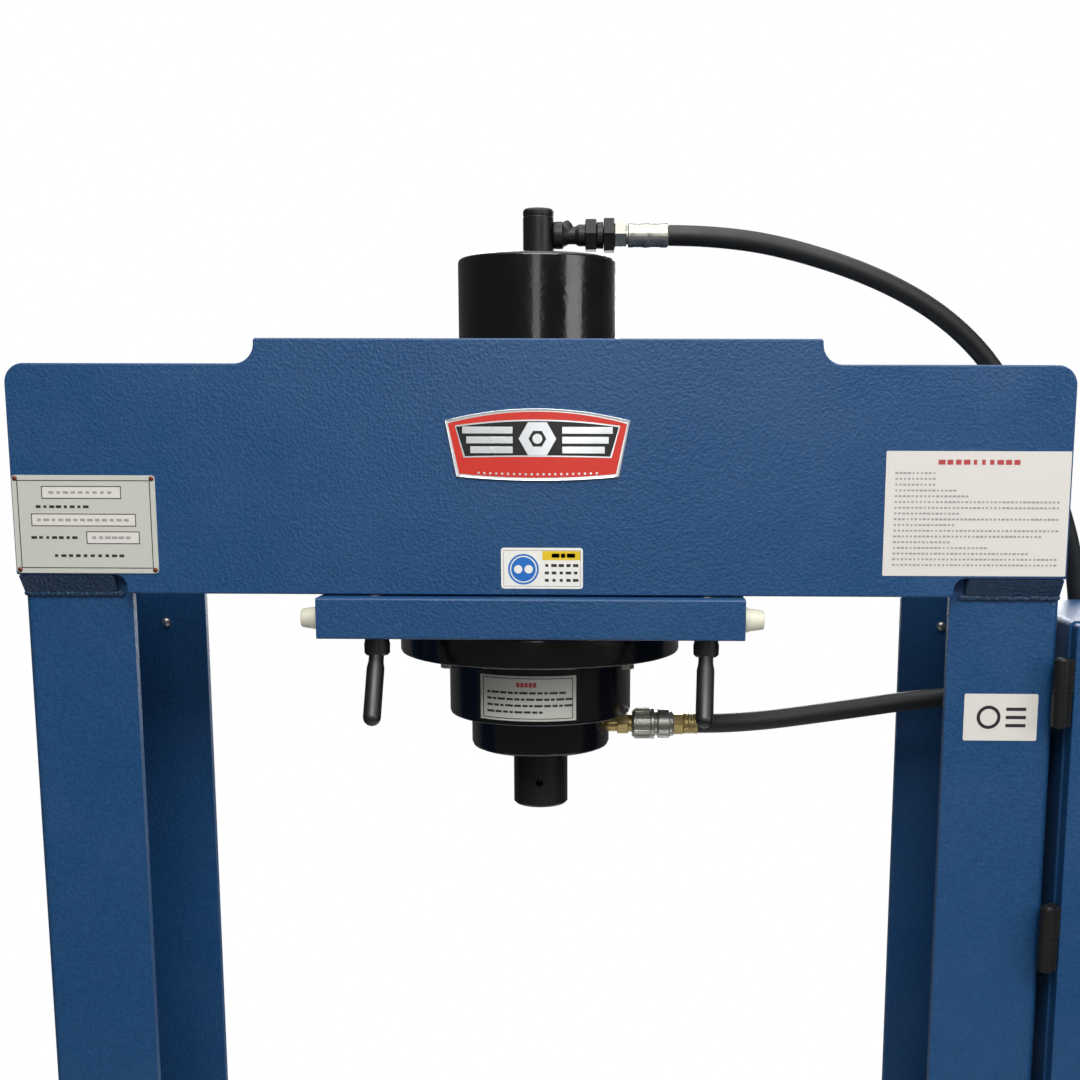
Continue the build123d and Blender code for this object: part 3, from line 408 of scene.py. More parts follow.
def rounded(node: str, finish: Finish, width_mm: float = 1.0, least: float = 30.0,
            name: str = "") -> bpy.types.Object:
    """A CAD node's shape with its edges rounded.

    Args:
        node: the CAD node that the piece stands for.
        finish: the piece's finish.
        width_mm: size of the rounding.
        least: the smallest edge angle that is rounded, in degrees.
        name: the piece's name, or the node's with a suffix.

    Returns:
        The new piece, riding on the node's body.
    """
    mesh = bmesh.new()
    mesh.from_mesh(frame["nodes"][node].data)
    bmesh.ops.remove_doubles(mesh, verts=mesh.verts, dist=0.02 * MM)
    bmesh.ops.dissolve_limit(mesh, angle_limit=math.radians(1.0), verts=mesh.verts, edges=mesh.edges)
    round_edges(mesh, width_mm * MM, least)
    piece = to_object(mesh, name or f"{node}_look", finish)
    return settle(piece, node)


def settle(piece: bpy.types.Object, *nodes: str, body: str = "", slot: str = "") -> bpy.types.Object:
    """Ride a piece on its body, and stand for CAD nodes.

    Args:
        piece: the finished piece.
        nodes: the CAD nodes that it replaces.
        body: the body it rides on, where it replaces none.
        slot: the material slot, where it replaces none; not used.

    Returns:
        The piece.
    """
    owner = body or frame["nodes"][nodes[0]]["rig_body"]
    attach(piece, owner)
    if nodes:
        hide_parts(*nodes)
    LOG.info("%s rides on %s", piece.name, owner)
    return piece


def keep(node: str, finish: Finish) -> None:
    """Give a CAD node that stays its finish."""
    piece = frame["nodes"][node]
    piece.data.materials.clear()
    piece.data.materials.append(finish.build())
    LOG.info("%s keeps its CAD shape", node)


def turn(mesh: bmesh.types.BMesh, profile: Profile, place: Matrix, steps: int = 72,
         width: float = 0.0) -> None:
    """Turn a closed profile round an axis, as on a lathe, and add it to a mesh.

    Args:
        mesh: the mesh that gets the shape.
        profile: (radius, height) points in metres, anticlockwise, closed through the axis or round a bore.
        place: puts the axis, which is local Z, in the row frame.
        steps: faces round the axis.
        width: rounding of the edges, or none.
    """
    part = bmesh.new()
    rings = []
    for radius, height in profile:
        if radius < 1e-6:
            rings.append([part.verts.new((0, 0, height))])
        else:
            rings.append([part.verts.new((radius * math.cos(2 * math.pi * i / steps),
                                          radius * math.sin(2 * math.pi * i / steps), height))
                          for i in range(steps)])
    for here, there in zip(rings, rings[1:] + rings[:1]):
        if len(here) == 1 and len(there) == 1:
            continue
        for i in range(steps):
            j = (i + 1) % steps
            corners = [here[0]] if len(here) == 1 else [here[i], here[j]]
            corners += [there[0]] if len(there) == 1 else [there[j], there[i]]
            part.faces.new(corners)
    bmesh.ops.recalc_face_normals(part, faces=part.faces)
    if width:
        round_edges(part, width, 25.0)
    add_part(mesh, part, place)


def mm(*pairs: tuple[float, float]) -> Outline:
    """A profile that is written in millimetres, in metres."""
    return [(radius * MM, height * MM) for radius, height in pairs]


def disc(radius: float, low: float, high: float, bore: float = 0.0) -> Outline:
    """The profile of a plain disc or ring.

    Args:
        radius: its outer radius in millimetres, like the rest.
        low: where it starts along the axis.
        high: where it ends.
        bore: the radius of its hole, or none.

    Returns:
        The profile in metres.
    """
    return mm((bore, low), (radius, low), (radius, high), (bore, high))


def cube(size: Point, centre: Point = (0, 0, 0)) -> bmesh.types.BMesh:
    """A block of a size with its middle at a point."""
    part = bmesh.new()
    bmesh.ops.create_cube(part, size=1.0, matrix=Matrix.Translation(centre) @ Matrix.Diagonal((*size, 1.0)))
    return part


def add_part(mesh: bmesh.types.BMesh, part: bmesh.types.BMesh, place: Matrix) -> None:
    """Add one shape to another, moved into place, and free it."""
    part.transform(place)
    data = bpy.data.meshes.new("part")
    part.to_mesh(data)
    part.free()
    mesh.from_mesh(data)
    bpy.data.meshes.remove(data)


def slab(mesh: bmesh.types.BMesh, low: Point, high: Point, width: float = 0.0) -> None:
    """Add a block between two corners, with rounded edges.

    Args:
        mesh: the mesh that gets the block.
        low: its lowest corner.
        high: its highest corner.
        width: rounding of the edges, or none.
    """
    part = cube(Vector(high) - Vector(low))
    if width:
        round_edges(part, width)
    add_part(mesh, part, Matrix.Translation((Vector(low) + Vector(high)) / 2))


def plate(mesh: bmesh.types.BMesh, outline: Profile, front: float, thick: float,
          width: float = 0.0) -> None:
    """Add a flat plate that faces -Y.

    Args:
        mesh: the mesh that gets the plate.
        outline: (x, z) points round it.
        front: Y of its front face.
        thick: its thickness, behind the front.
        width: rounding of the edges, or none.
    """
    part = bmesh.new()
    face = part.faces.new([part.verts.new((x, front, z)) for x, z in outline])
    walls = bmesh.ops.extrude_face_region(part, geom=[face])["geom"]
    for vert in (v for v in walls if isinstance(v, bmesh.types.BMVert)):
        vert.co.y += thick
    bmesh.ops.recalc_face_normals(part, faces=part.faces)
    if width:
        round_edges(part, width)
    add_part(mesh, part, UPRIGHT)


def round_corners(points: Profile, radius: float, steps: int = 5) -> Outline:
    """Round the corners of a flat outline.

    Args:
        points: the corners in order.
        radius: distance from each corner where its curve starts.
        steps: points on each curve, less one.

    Returns:
        The rounded outline.
    """
    result = []
    for i, corner in enumerate(points):
        here, before, after = Vector(corner), Vector(points[i - 1]), Vector(points[(i + 1) % len(points)])
        a = here + (before - here).normalized() * radius
        b = here + (after - here).normalized() * radius
        for k in range(steps + 1):
            t = k / steps
            result.append(tuple((1 - t) ** 2 * a + 2 * t * (1 - t) * here + t * t * b))
    return result


# ---------------------------------------------------------------- geometry nodes
class NodeTool:
    """A Geometry Nodes tree with named inputs, whose result is baked to a plain mesh."""

    def __init__(self, name: str) -> None:
        """Start an empty tree."""
        self.tree = bpy.data.node_groups.new(name, "GeometryNodeTree")
        self.tree.interface.new_socket("Geometry", in_out="OUTPUT", socket_type="NodeSocketGeometry")
        self.inputs = self.tree.nodes.new("NodeGroupInput")
        self.values: dict[str, object] = {}

    def size(self, name: str, kind: str, value: object) -> bpy.types.NodeSocket:
        """Add a named input.

        Args:
            name: what the input is called.
            kind: "Float", "Int", "Vector", "Object" or "Material".
            value: what it is set to.

        Returns:
            The socket inside the tree.
        """
        item = self.tree.interface.new_socket(name, in_out="INPUT", socket_type=f"NodeSocket{kind}")
        self.values[item.identifier] = value
        return self.inputs.outputs[name]

    def bake(self, shape: bpy.types.NodeSocket, name: str, finish: Finish) -> bpy.types.Object:
        """End the tree in Realize Instances and Set Material, and bake it.

        Args:
            shape: the geometry so far.
            name: the piece's name.
            finish: its finish.

        Returns:
            The piece, a plain mesh without a modifier.
        """
        material = self.size("Finish", "Material", finish.build())
        real = add_node(self.tree, "GeometryNodeRealizeInstances", {"Geometry": shape})
        painted = add_node(self.tree, "GeometryNodeSetMaterial", {
            "Geometry": real.outputs[0], "Material": material})
        add_node(self.tree, "NodeGroupOutput", {0: painted.outputs[0]})
        carrier = link(f"{name}_carrier", bpy.data.meshes.new(name))
        modifier = carrier.modifiers.new("nodes", "NODES")
        modifier.node_group = self.tree
        for identifier, value in self.values.items():
            modifier[identifier] = value
        carrier.update_tag()
        return dress(final_mesh(carrier), name, finish)


def hidden(mesh: bmesh.types.BMesh, name: str) -> bpy.types.Object:
    """A shape for instances to copy, which isn't linked to the scene."""
    data = bpy.data.meshes.new(name)
    mesh.to_mesh(data)
    mesh.free()
    return bpy.data.objects.new(name, data)


def copies(name: str, pattern: bpy.types.Object, spots: Sequence[Point], finish: Finish,
           rotation: Point = (0.0, 0.0, 0.0)) -> bpy.types.Object:
    """Copy one shape to several points.

    Args:
        name: the piece's name.
        pattern: the shape that is copied.
        spots: where the copies go.
        finish: their finish.
        rotation: how each copy is turned, in radians.

    Returns:
        One piece of all the copies.
    """
    tool = NodeTool(name)
    spot_mesh = bpy.data.meshes.new(f"{name}_spots")
    spot_mesh.from_pydata([tuple(s) for s in spots], [], [])
    holder = bpy.data.objects.new(f"{name}_spots", spot_mesh)
    points = add_node(tool.tree, "GeometryNodeObjectInfo", {"Object": tool.size("Spots", "Object", holder)})
    shape = add_node(tool.tree, "GeometryNodeObjectInfo", {"Object": tool.size("Pattern", "Object", pattern)})
    placed = add_node(tool.tree, "GeometryNodeInstanceOnPoints", {
        "Points": points.outputs["Geometry"], "Instance": shape.outputs["Geometry"],
        "Rotation": tool.size("Rotation", "Vector", rotation)})
    return tool.bake(placed.outputs[0], name, finish)


def ring(name: str, pattern: bpy.types.Object, count: int, radius: float, place: Matrix,
         finish: Finish) -> bpy.types.Object:
    """Copy a shape round a circle, each copy turned to face outwards.

    Args:
        name: the piece's name.
        pattern: the shape, at the origin with +X outwards.
        count: how many copies.
        radius: the circle's radius.
        place: puts the circle's axis, local Z, in the row frame.
        finish: their finish.

    Returns:
        One piece of all the copies.
    """
    tool = NodeTool(name)
    number = tool.size("Count", "Int", count)
    circle = add_node(tool.tree, "GeometryNodeMeshCircle", {
        "Vertices": number, "Radius": tool.size("Radius", "Float", radius)})
    share = add_node(tool.tree, "ShaderNodeMath", {0: 2 * math.pi, 1: number}, operation="DIVIDE")
    index = add_node(tool.tree, "GeometryNodeInputIndex")
    angle = add_node(tool.tree, "ShaderNodeMath", {0: index.outputs[0], 1: share.outputs[0]},
                     operation="MULTIPLY")
    outwards = add_node(tool.tree, "ShaderNodeCombineXYZ", {"Z": angle.outputs[0]})
    shape = add_node(tool.tree, "GeometryNodeObjectInfo", {"Object": tool.size("Pattern", "Object", pattern)})
    placed = add_node(tool.tree, "GeometryNodeInstanceOnPoints", {
        "Points": circle.outputs[0], "Instance": shape.outputs["Geometry"], "Rotation": outwards.outputs[0]})
    moved = add_node(tool.tree, "GeometryNodeTransform", {
        "Geometry": placed.outputs[0],
        "Translation": tool.size("Centre", "Vector", place.to_translation()),
        "Rotation": tool.size("Turn", "Vector", tuple(place.to_euler()))})
    return tool.bake(moved.outputs[0], name, finish)


@dataclass
class PrintedLines:
    """Rows of short bars that stand for a block of small print, without a letter in it.

    Corner is the x and z of the first bar's middle. Ragged sets how short a row may end: 1 keeps every row
    at least half as long as the block, 0 lets rows end early.
    """
    name: str
    corner: tuple[float, float]
    columns: int
    rows: int
    pitch: tuple[float, float]
    bar_height: float
    front: float
    finish: Finish = VINYL_GREY
    thickness: float = 0.1 * MM
    seed: int = SEED
    ragged: float = 1.0

    def build(self) -> bpy.types.Object:
        """Lay bars of random length in rows.

        Returns:
            The piece, not yet riding on a body.
        """
        tool = NodeTool(self.name)
        wide, high = self.pitch[0] * (self.columns - 1), self.pitch[1] * (self.rows - 1)
        grid = add_node(tool.tree, "GeometryNodeMeshGrid", {
            "Size X": tool.size("Width", "Float", wide), "Size Y": tool.size("Height", "Float", high),
            "Vertices X": tool.size("Columns", "Int", self.columns),
            "Vertices Y": tool.size("Rows", "Int", self.rows)})
        spot = add_node(tool.tree, "ShaderNodeSeparateXYZ", {
            0: add_node(tool.tree, "GeometryNodeInputPosition").outputs[0]})
        row = add_node(tool.tree, "ShaderNodeMath", {
            0: spot.outputs["Y"], 1: self.pitch[1]}, operation="DIVIDE")
        whole = add_node(tool.tree, "FunctionNodeFloatToInt", {0: row.outputs[0]}, rounding_mode="ROUND")
        last = add_node(tool.tree, "FunctionNodeRandomValue", {
            2: tool.size("Shortest row", "Float", wide * (self.ragged - 0.5)), 3: wide * 1.2,
            "ID": whole.outputs[0], "Seed": self.seed}, data_type="FLOAT")
        past = add_node(tool.tree, "ShaderNodeMath", {
            0: spot.outputs["X"], 1: last.outputs[1]}, operation="GREATER_THAN")
        kept = add_node(tool.tree, "GeometryNodeDeleteGeometry", {
            "Geometry": grid.outputs[0], "Selection": past.outputs[0]}, domain="POINT")
        cube = add_node(tool.tree, "GeometryNodeMeshCube", {
            "Size": tool.size("Bar", "Vector", (self.pitch[0] * 0.9, self.bar_height, self.thickness))})
        length = add_node(tool.tree, "FunctionNodeRandomValue", {
            0: (0.45, 0.9, 1.0), 1: (0.95, 1.0, 1.0), "Seed": tool.size("Seed", "Int", self.seed)},
            data_type="FLOAT_VECTOR")
        placed = add_node(tool.tree, "GeometryNodeInstanceOnPoints", {
            "Points": kept.outputs[0], "Instance": cube.outputs[0], "Scale": length.outputs[0]})
        moved = add_node(tool.tree, "GeometryNodeTransform", {
            "Geometry": placed.outputs[0],
            "Translation": (self.corner[0] + wide / 2, self.front, self.corner[1] - high / 2),
            "Rotation": (math.pi / 2, 0, 0)})
        return tool.bake(moved.outputs[0], self.name, self.finish)


# ---------------------------------------------------------------- studio
@dataclass
class Studio:
    """Plain pale floor, soft lights and the camera."""
    lens: float = 46.97
    place: tuple[float, float, float] = (0.0889, -1.5923, 1.6455)
    pitch: float = 0.1656
    yaw: float = -0.0173
    roll: float = 0.0031
    shift: tuple[float, float] = (-0.0556, 0.1296)
    floor_radius: float = 1.4

    def build(self) -> None:
        """Make the floor, the lights and the camera."""
        self._camera()
        self._world()
        mesh = bmesh.new()
        bmesh.ops.create_circle(mesh, cap_ends=True, segments=128, radius=self.floor_radius,
                                matrix=Matrix.Translation((0.1, 0.1, -0.5 * MM)))
        # Pale painted concrete: matt, almost even.
        pale = Finish("pale_studio_floor", "f2f2f1", "eeeeed", 0.7, Relief.MOULDED, 40.0, 0.2, strength=0.1)
        floor = to_object(mesh, "studio_floor", pale)
        self._light("lamp", (0.0, -2.0, 2.15), (0.0, 0.0, 1.5), (0.35, 1.4), 4.0)
        self._light("overhead", (0.3, -3.0, 4.4), (0.0, 0.0, 1.2), (3.2, 2.0), 170.0)
        self._light("window", (3.0, -2.2, 2.6), (0.3, 0.0, 1.4), (1.6, 2.2), 38.0)
        self._light("ceiling", (0.0, 0.2, 4.6), (0.0, 0.0, 1.0), (4.0, 3.0), 110.0)
        self._light("back", (0.9, 3.6, 2.3), (0.2, 0.0, 1.4), (3.0, 2.4), 150.0)

    def _camera(self) -> None:
        """Stand the camera in front of the head."""
        ahead = Vector((math.sin(self.yaw) * math.cos(self.pitch), math.cos(self.yaw) * math.cos(self.pitch),
                        -math.sin(self.pitch)))
        right = Vector((math.cos(self.yaw), -math.sin(self.yaw), 0.0))
        up = right.cross(ahead)
        across = math.cos(self.roll) * right + math.sin(self.roll) * up
        over = -math.sin(self.roll) * right + math.cos(self.roll) * up
        turned = Matrix((across, over, -ahead)).transposed().to_4x4()
        data = bpy.data.cameras.new("camera")
        data.lens, data.sensor_width = self.lens, 36.0
        data.shift_x, data.shift_y = self.shift
        camera = link("camera", data)
        camera.matrix_world = Matrix.Translation(self.place) @ turned
        bpy.context.scene.camera = camera

    def _world(self) -> None:
        """A white surround that lights the object more softly than it looks."""
        scene = bpy.context.scene
        scene.view_settings.view_transform = "Standard"
        scene.world = bpy.data.worlds.new("white_surround")
        scene.world.use_nodes = True
        tree = scene.world.node_tree
        seen = add_node(tree, "ShaderNodeLightPath").outputs["Is Camera Ray"]
        level = add_node(tree, "ShaderNodeMapRange", {"Value": seen, "To Min": 0.1, "To Max": 1.0})
        back = tree.nodes["Background"]
        back.inputs["Color"].default_value = (1.0, 1.0, 1.0, 1.0)
        tree.links.new(level.outputs[0], back.inputs["Strength"])

    def _light(self, name: str, place: Point, aim: Point, size: tuple[float, float], watts: float) -> None:
        """Add a soft area light.

        Args:
            name: its name.
            place: where it stands.
            aim: the point that it faces.
            size: width and height.
            watts: its power.
        """
        data = bpy.data.lights.new(name, "AREA")
        data.shape, data.size, data.size_y, data.energy = "RECTANGLE", size[0], size[1], watts
        light = link(name, data)
        light.visible_camera = False
        light.matrix_world = facing(place, Vector(place) - Vector(aim))


# ---------------------------------------------------------------- hoses
@dataclass
class Hose:
    """A pressure hose from the moving cylinder to the fixed cabinet, on one smooth line."""
    name: str
    route: Sequence[Point]
    length: float
    blend_end: Point
    lay: str
    pieces: tuple[str, ...] = ()
    diameter: float = 22 * MM
    sides: int = 20

    def build(self) -> bpy.types.Object:
        """Make the tube round its line, and say what it is.

        Returns:
            The tube.
        """
        line = self._spline()
        path = [v.co.copy() for v in final_mesh(line, remove=False).vertices]
        line.data.bevel_depth = self.diameter / 2
        line.data.bevel_resolution = self.sides // 4
        line.data.use_fill_caps = True
        tube = dress(final_mesh(line), self.name + "_tube", RUBBER, 60.0)
        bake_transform(tube)
        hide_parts(self.name)
        LOG.info("%s bends between carriage and frame", tube.name)
        return tube

    def _spline(self) -> bpy.types.Object:
        """The route as a smooth curve without thickness."""
        data = bpy.data.curves.new(self.name + "_line", "CURVE")
        data.dimensions = "3D"
        data.resolution_u = 24
        spline = data.splines.new("NURBS")
        spline.points.add(len(self.route) - 1)
        for point, place in zip(spline.points, self.route):
            point.co = (*place, 1.0)
        spline.order_u = 3
        spline.use_endpoint_u = True
        return link(self.name + "_line", data)


UPPER_ROUTE = ((0.1344, 0, 1.8698), (0.178, 0, 1.8698), (0.259, 0.001, 1.8593), (0.366, 0.009, 1.8272),
               (0.453, 0.030, 1.7826), (0.523, 0.058, 1.7167), (0.608, 0.086, 1.5684), (0.641, 0.110, 1.440),
               (0.641, 0.110, 1.330))
LOWER_ROUTE = ((0.1744, 0, 1.3295), (0.222, 0, 1.3295), (0.330, 0, 1.3445), (0.440, 0, 1.3615),
               (0.535, 0, 1.366), (0.590, 0, 1.366))
# A point on each hose's route where the real hose stops following the carriage.
UPPER_END, LOWER_END = (0.608, 0.086, 1.568), (0.530, 0, 1.366)


# ---------------------------------------------------------------- frame
AXIS_X = -7 * MM                    # the cylinder's axis
HEAD_FRONT, LEG_FRONT = -149 * MM, -131 * MM


def six_sided(mesh: bmesh.types.BMesh, flats: float, low: float, high: float, place: Matrix,
              slope: float = 1.0 * MM) -> None:
    """Add a bolt head or nut with its corners turned off.

    Args:
        mesh: the mesh that gets it.
        flats: width across flats.
        low: where it starts along local Z.
        high: where it ends.
        place: puts local Z in the row frame.
        slope: how far the turned corners drop.
    """
    corner = flats / math.sqrt(3)
    turn(mesh, [(0, low), (corner - slope, low), (corner, low + slope * 0.5), (corner, high - slope * 0.5),
                (corner - slope, high), (0, high)], place, steps=6)
    turn(mesh, [(0, high - slope), (flats * 0.44, high - slope), (flats * 0.44, high - 0.02 * MM),
                (0, high - 0.02 * MM)], place, steps=24)


@dataclass
class PressFrame:
    """Legs, feet, ties, head plates, weld beads, rails and the bolts that hold them."""
    edge_mm: float = 1.4
    tie_bolt_x: float = 452 * MM
    tie_bolt_heights: tuple[float, float] = (100 * MM, 180 * MM)
    leg_bolt: tuple[float, float] = (475 * MM, 1428 * MM)

    def build(self) -> None:
        """Make every fixed steel piece."""
        for node in ("left_leg", "right_leg", "left_foot", "right_foot", "base_ties", "carriage_rails",
                     "cabinet_mounts"):
            rounded(node, BLUE, self.edge_mm)
        for node in ("front_head_plate", "rear_head_plate"):
            rounded(node, BLUE, 1.8)
        # The weld beads take the darker blue as painted shade.
        rounded("weld_beads", PAINTED_SHADE_BLUE, 2.5)
        self._weld_ripples()
        self._tie_bolts()
        self._leg_bolts()

    def _weld_ripples(self) -> None:
        """Overlapping drops of weld metal along the foot of each bead, under the paint."""
        mesh = bmesh.new()
        bmesh.ops.create_icosphere(mesh, subdivisions=2, radius=1.0,
                                   matrix=Matrix.Diagonal((4.4 * MM, 1.5 * MM, 3.0 * MM, 1.0)))
        drop = hidden(mesh, "weld_drop")
        low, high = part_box("weld_beads")
        spots = []
        for side in Side:
            for depth in (low.y + 15.5 * MM, high.y - 15.5 * MM):
                for i in range(20):
                    x = side.value * (438 * MM + i * 5.1 * MM)
                    spots.append((x, depth, low.z + 3.4 * MM + 0.5 * MM * math.sin(i * 2.3)))
        # The ripples take the darker blue as painted shade, like the beads.
        settle(copies("weld_ripples", drop, spots, PAINTED_SHADE_BLUE), body="frame", slot="blue_powder_coat")

    def _tie_bolts(self) -> None:
        """Hexagon bolts through the leg flanges and the base ties, with washers and nuts."""
        mesh = bmesh.new()
        turn(mesh, disc(14, 0, 1.8), UPRIGHT, 32, 0.3 * MM)
        six_sided(mesh, 24 * MM, 1.8 * MM, 9.9 * MM, UPRIGHT)
        turn(mesh, disc(14, -24, -22), UPRIGHT, 32, 0.3 * MM)
        six_sided(mesh, 24 * MM, -34 * MM, -24 * MM, UPRIGHT)
        turn(mesh, self._thread(7.6 * MM, -38 * MM, 0.0), UPRIGHT, 20)
        bolt = hidden(mesh, "tie_bolt")
        for name, front in (("front", LEG_FRONT), ("rear", -LEG_FRONT)):
            spots = [(side.value * self.tie_bolt_x, front, z) for side in Side for z in self.tie_bolt_heights]
            rotation = (math.copysign(math.pi / 2, -front), 0.0, 0.0)
            piece = copies(f"{name}_tie_bolts", bolt, spots, ZINC, rotation)
            if name == "front":
                settle(piece, "frame_bolts")
            else:
                settle(piece, body="frame", slot="zinc_plated_steel")

    def _leg_bolts(self) -> None:
        """The small dome-headed bolt in each leg's rear flange, with its nut behind."""
        mesh = bmesh.new()
        turn(mesh, mm((0, 0), (5.6, 0), (5.5, 1.6), (4.6, 3.2), (2.6, 4.4), (0, 4.8)), UPRIGHT, 32)
        six_sided(mesh, 10 * MM, -15 * MM, -10 * MM, UPRIGHT, 0.6 * MM)
        turn(mesh, self._thread(3.4 * MM, -17 * MM, 0.0), UPRIGHT, 16)
        spots = [(side.value * self.leg_bolt[0], 121 * MM, self.leg_bolt[1]) for side in Side]
        piece = copies("leg_bolts", hidden(mesh, "leg_bolt"), spots, ZINC, (math.pi / 2, 0.0, 0.0))
        settle(piece, body="frame", slot="zinc_plated_steel")

    @staticmethod
    def _thread(radius: float, low: float, high: float, pitch: float = 2.0 * MM) -> Outline:
        """A shank's profile with thread crests near its low end.

        Args:
            radius: the shank's radius.
            low: where the thread starts.
            high: where the shank ends.
            pitch: distance between crests.

        Returns:
            The profile for a turned bar.
        """
        points = [(0.0, low), (radius * 0.8, low)]
        height = low + pitch / 2
        while height < low + 8 * MM:
            points += [(radius, height), (radius * 0.88, height + pitch / 2)]
            height += pitch
        return points + [(radius, height), (radius, high), (0.0, high)]


# ---------------------------------------------------------------- carriage and cylinder
@dataclass
class Carriage:
    """The slab that hangs under the head, its rollers, buffers and the hydraulic cylinder."""
    barrel: float = 88 * MM
    bore: float = 70 * MM
    barrel_low: float = 1356 * MM
    barrel_top: float = 1843 * MM
    cap: float = 30 * MM
    post: float = 17 * MM
    post_top: float = 1897 * MM
    flange: tuple[float, float, float] = (157.5 * MM, 1415 * MM, 1448.4 * MM)
    gland: tuple[float, float, float] = (103 * MM, 1344 * MM, 1414.9 * MM)
    nut: tuple[float, float, float] = (78.5 * MM, 1304.6 * MM, 1343.9 * MM)
    bolt_circle: float = 113 * MM
    bolt_angles: tuple[int, ...] = (30, 150, 210, 330)
    half_slab: float = 219 * MM
    buffer_depth: float = 135 * MM
    buffer_height: float = 1466 * MM
    axis: Matrix = field(default_factory=lambda: Matrix.Translation((AXIS_X, 0, 0)))

    def build(self) -> None:
        """Make every piece that travels sideways."""
        rounded("carriage_slab", BLUE, 2.0)
        rounded("roller_brackets", BLUE, 1.2)
        self._rollers()
        self._buffers()
        self._barrel()
        self._flange()
        self._gland()
        self._notice()

    def _rollers(self) -> None:
        """Ground rollers with a groove, a seal and a hub on each face."""
        for node in ("front_left_roller", "front_right_roller", "rear_left_roller", "rear_right_roller"):
            low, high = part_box(node)
            centre = (low + high) / 2
            half, radius = (high.y - low.y) / 2, (high.z - low.z) / 2
            place = facing(centre, BACKWARD)
            mesh = bmesh.new()
            turn(mesh, [(10.1 * MM, -half), (15 * MM, -half), (15 * MM, -half + 1 * MM),
                        (24 * MM, -half + 1 * MM), (24 * MM, -half), (radius, -half), (radius, half),
                        (24 * MM, half), (24 * MM, half - 1 * MM), (15 * MM, half - 1 * MM),
                        (15 * MM, half), (10.1 * MM, half)], place, 64, 0.5 * MM)
            settle(to_object(mesh, f"{node}_look", GROUND), node)
            seals = bmesh.new()
            for face in (-1, 1):
                at = face * (half - 0.9 * MM)
                turn(seals, [(15.3 * MM, at - 0.3 * MM), (23.7 * MM, at - 0.3 * MM),
                             (23.7 * MM, at + 0.3 * MM), (15.3 * MM, at + 0.3 * MM)], place, 48)
            body = frame["nodes"][node]["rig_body"]
            settle(to_object(seals, f"{node}_seals", SEAL), body=body, slot="ground_steel")

    def _buffers(self) -> None:
        """Turned nylon buffers: a collar, a cone and a countersunk screw in the tip."""
        mesh, screws = bmesh.new(), bmesh.new()
        for end in Side:
            for depth in (-self.buffer_depth, self.buffer_depth):
                at = (AXIS_X + end.value * self.half_slab, depth, self.buffer_height)
                place = facing(at, (end.value, 0, 0))
                turn(mesh, mm((0, 0), (12.2, 0), (12.2, 1.8), (13, 2.2), (13, 5.5), (12, 6.2), (9.9, 20.6),
                              (8.8, 21.8), (4.2, 21.8), (3.4, 18), (0, 18)), place, 48, 0.35 * MM)
                turn(screws, mm((0, 17.8), (3.2, 17.8), (2.9, 19.4), (1.4, 19.4), (1.2, 18.6), (0, 18.6)),
                     place, 24)
        settle(to_object(mesh, "bumpers_look", NYLON), "bumpers")
        settle(to_object(screws, "buffer_screws", ZINC), body="carriage", slot="zinc_plated_steel")

    def _barrel(self) -> None:
        """The barrel with its rounded top, and the port post with its socket."""
        mesh, crown, top = bmesh.new(), self.barrel_top, self.post_top
        turn(mesh, [(self.bore, self.barrel_low), (self.barrel, self.barrel_low),
                    (self.barrel, crown - 3.5 * MM), (self.barrel - 1.2 * MM, crown - 1 * MM),
                    (self.barrel - 4 * MM, crown), (24 * MM, crown), (0, crown), (0, crown - self.cap),
                    (self.bore, crown - self.cap)], self.axis, 128, 0.8 * MM)
        turn(mesh, [(self.post, crown - 0.5 * MM), (22 * MM, crown - 0.5 * MM), (20.5 * MM, crown + 2.2 * MM),
                    (self.post - 0.5 * MM, crown + 4.5 * MM), (self.post - 3 * MM, crown)], self.axis, 48)
        settle(to_object(mesh, "cylinder_barrel_look", BLACK_GLOSS), "cylinder_barrel")
        post = bmesh.new()
        turn(post, [(0, crown - 0.4 * MM), (self.post, crown - 0.4 * MM), (self.post, top - 9 * MM),
                    (self.post - 0.6 * MM, top - 8.4 * MM), (self.post - 0.6 * MM, top - 7.4 * MM),
                    (self.post, top - 6.8 * MM), (self.post, top - 2.5 * MM),
                    (self.post - 1.8 * MM, top - 0.1 * MM), (7.2 * MM, top - 0.1 * MM),
                    (6.4 * MM, top - 1.2 * MM), (6.4 * MM, top - 6 * MM), (0, top - 6 * MM)],
             self.axis, 64, 0.25 * MM)
        settle(to_object(post, "port_post", BLACK_OXIDE), body="carriage", slot="black_oxide_steel")

    @staticmethod
    def _rim(radius: float, low: float, high: float) -> Outline:
        """The outer side of a turned ring, with both of its corners eased off."""
        return [(radius - 4 * MM, low), (radius - 1.2 * MM, low + 1.2 * MM), (radius, low + 4 * MM),
                (radius, high - 4 * MM), (radius - 1.2 * MM, high - 1.2 * MM), (radius - 4 * MM, high)]

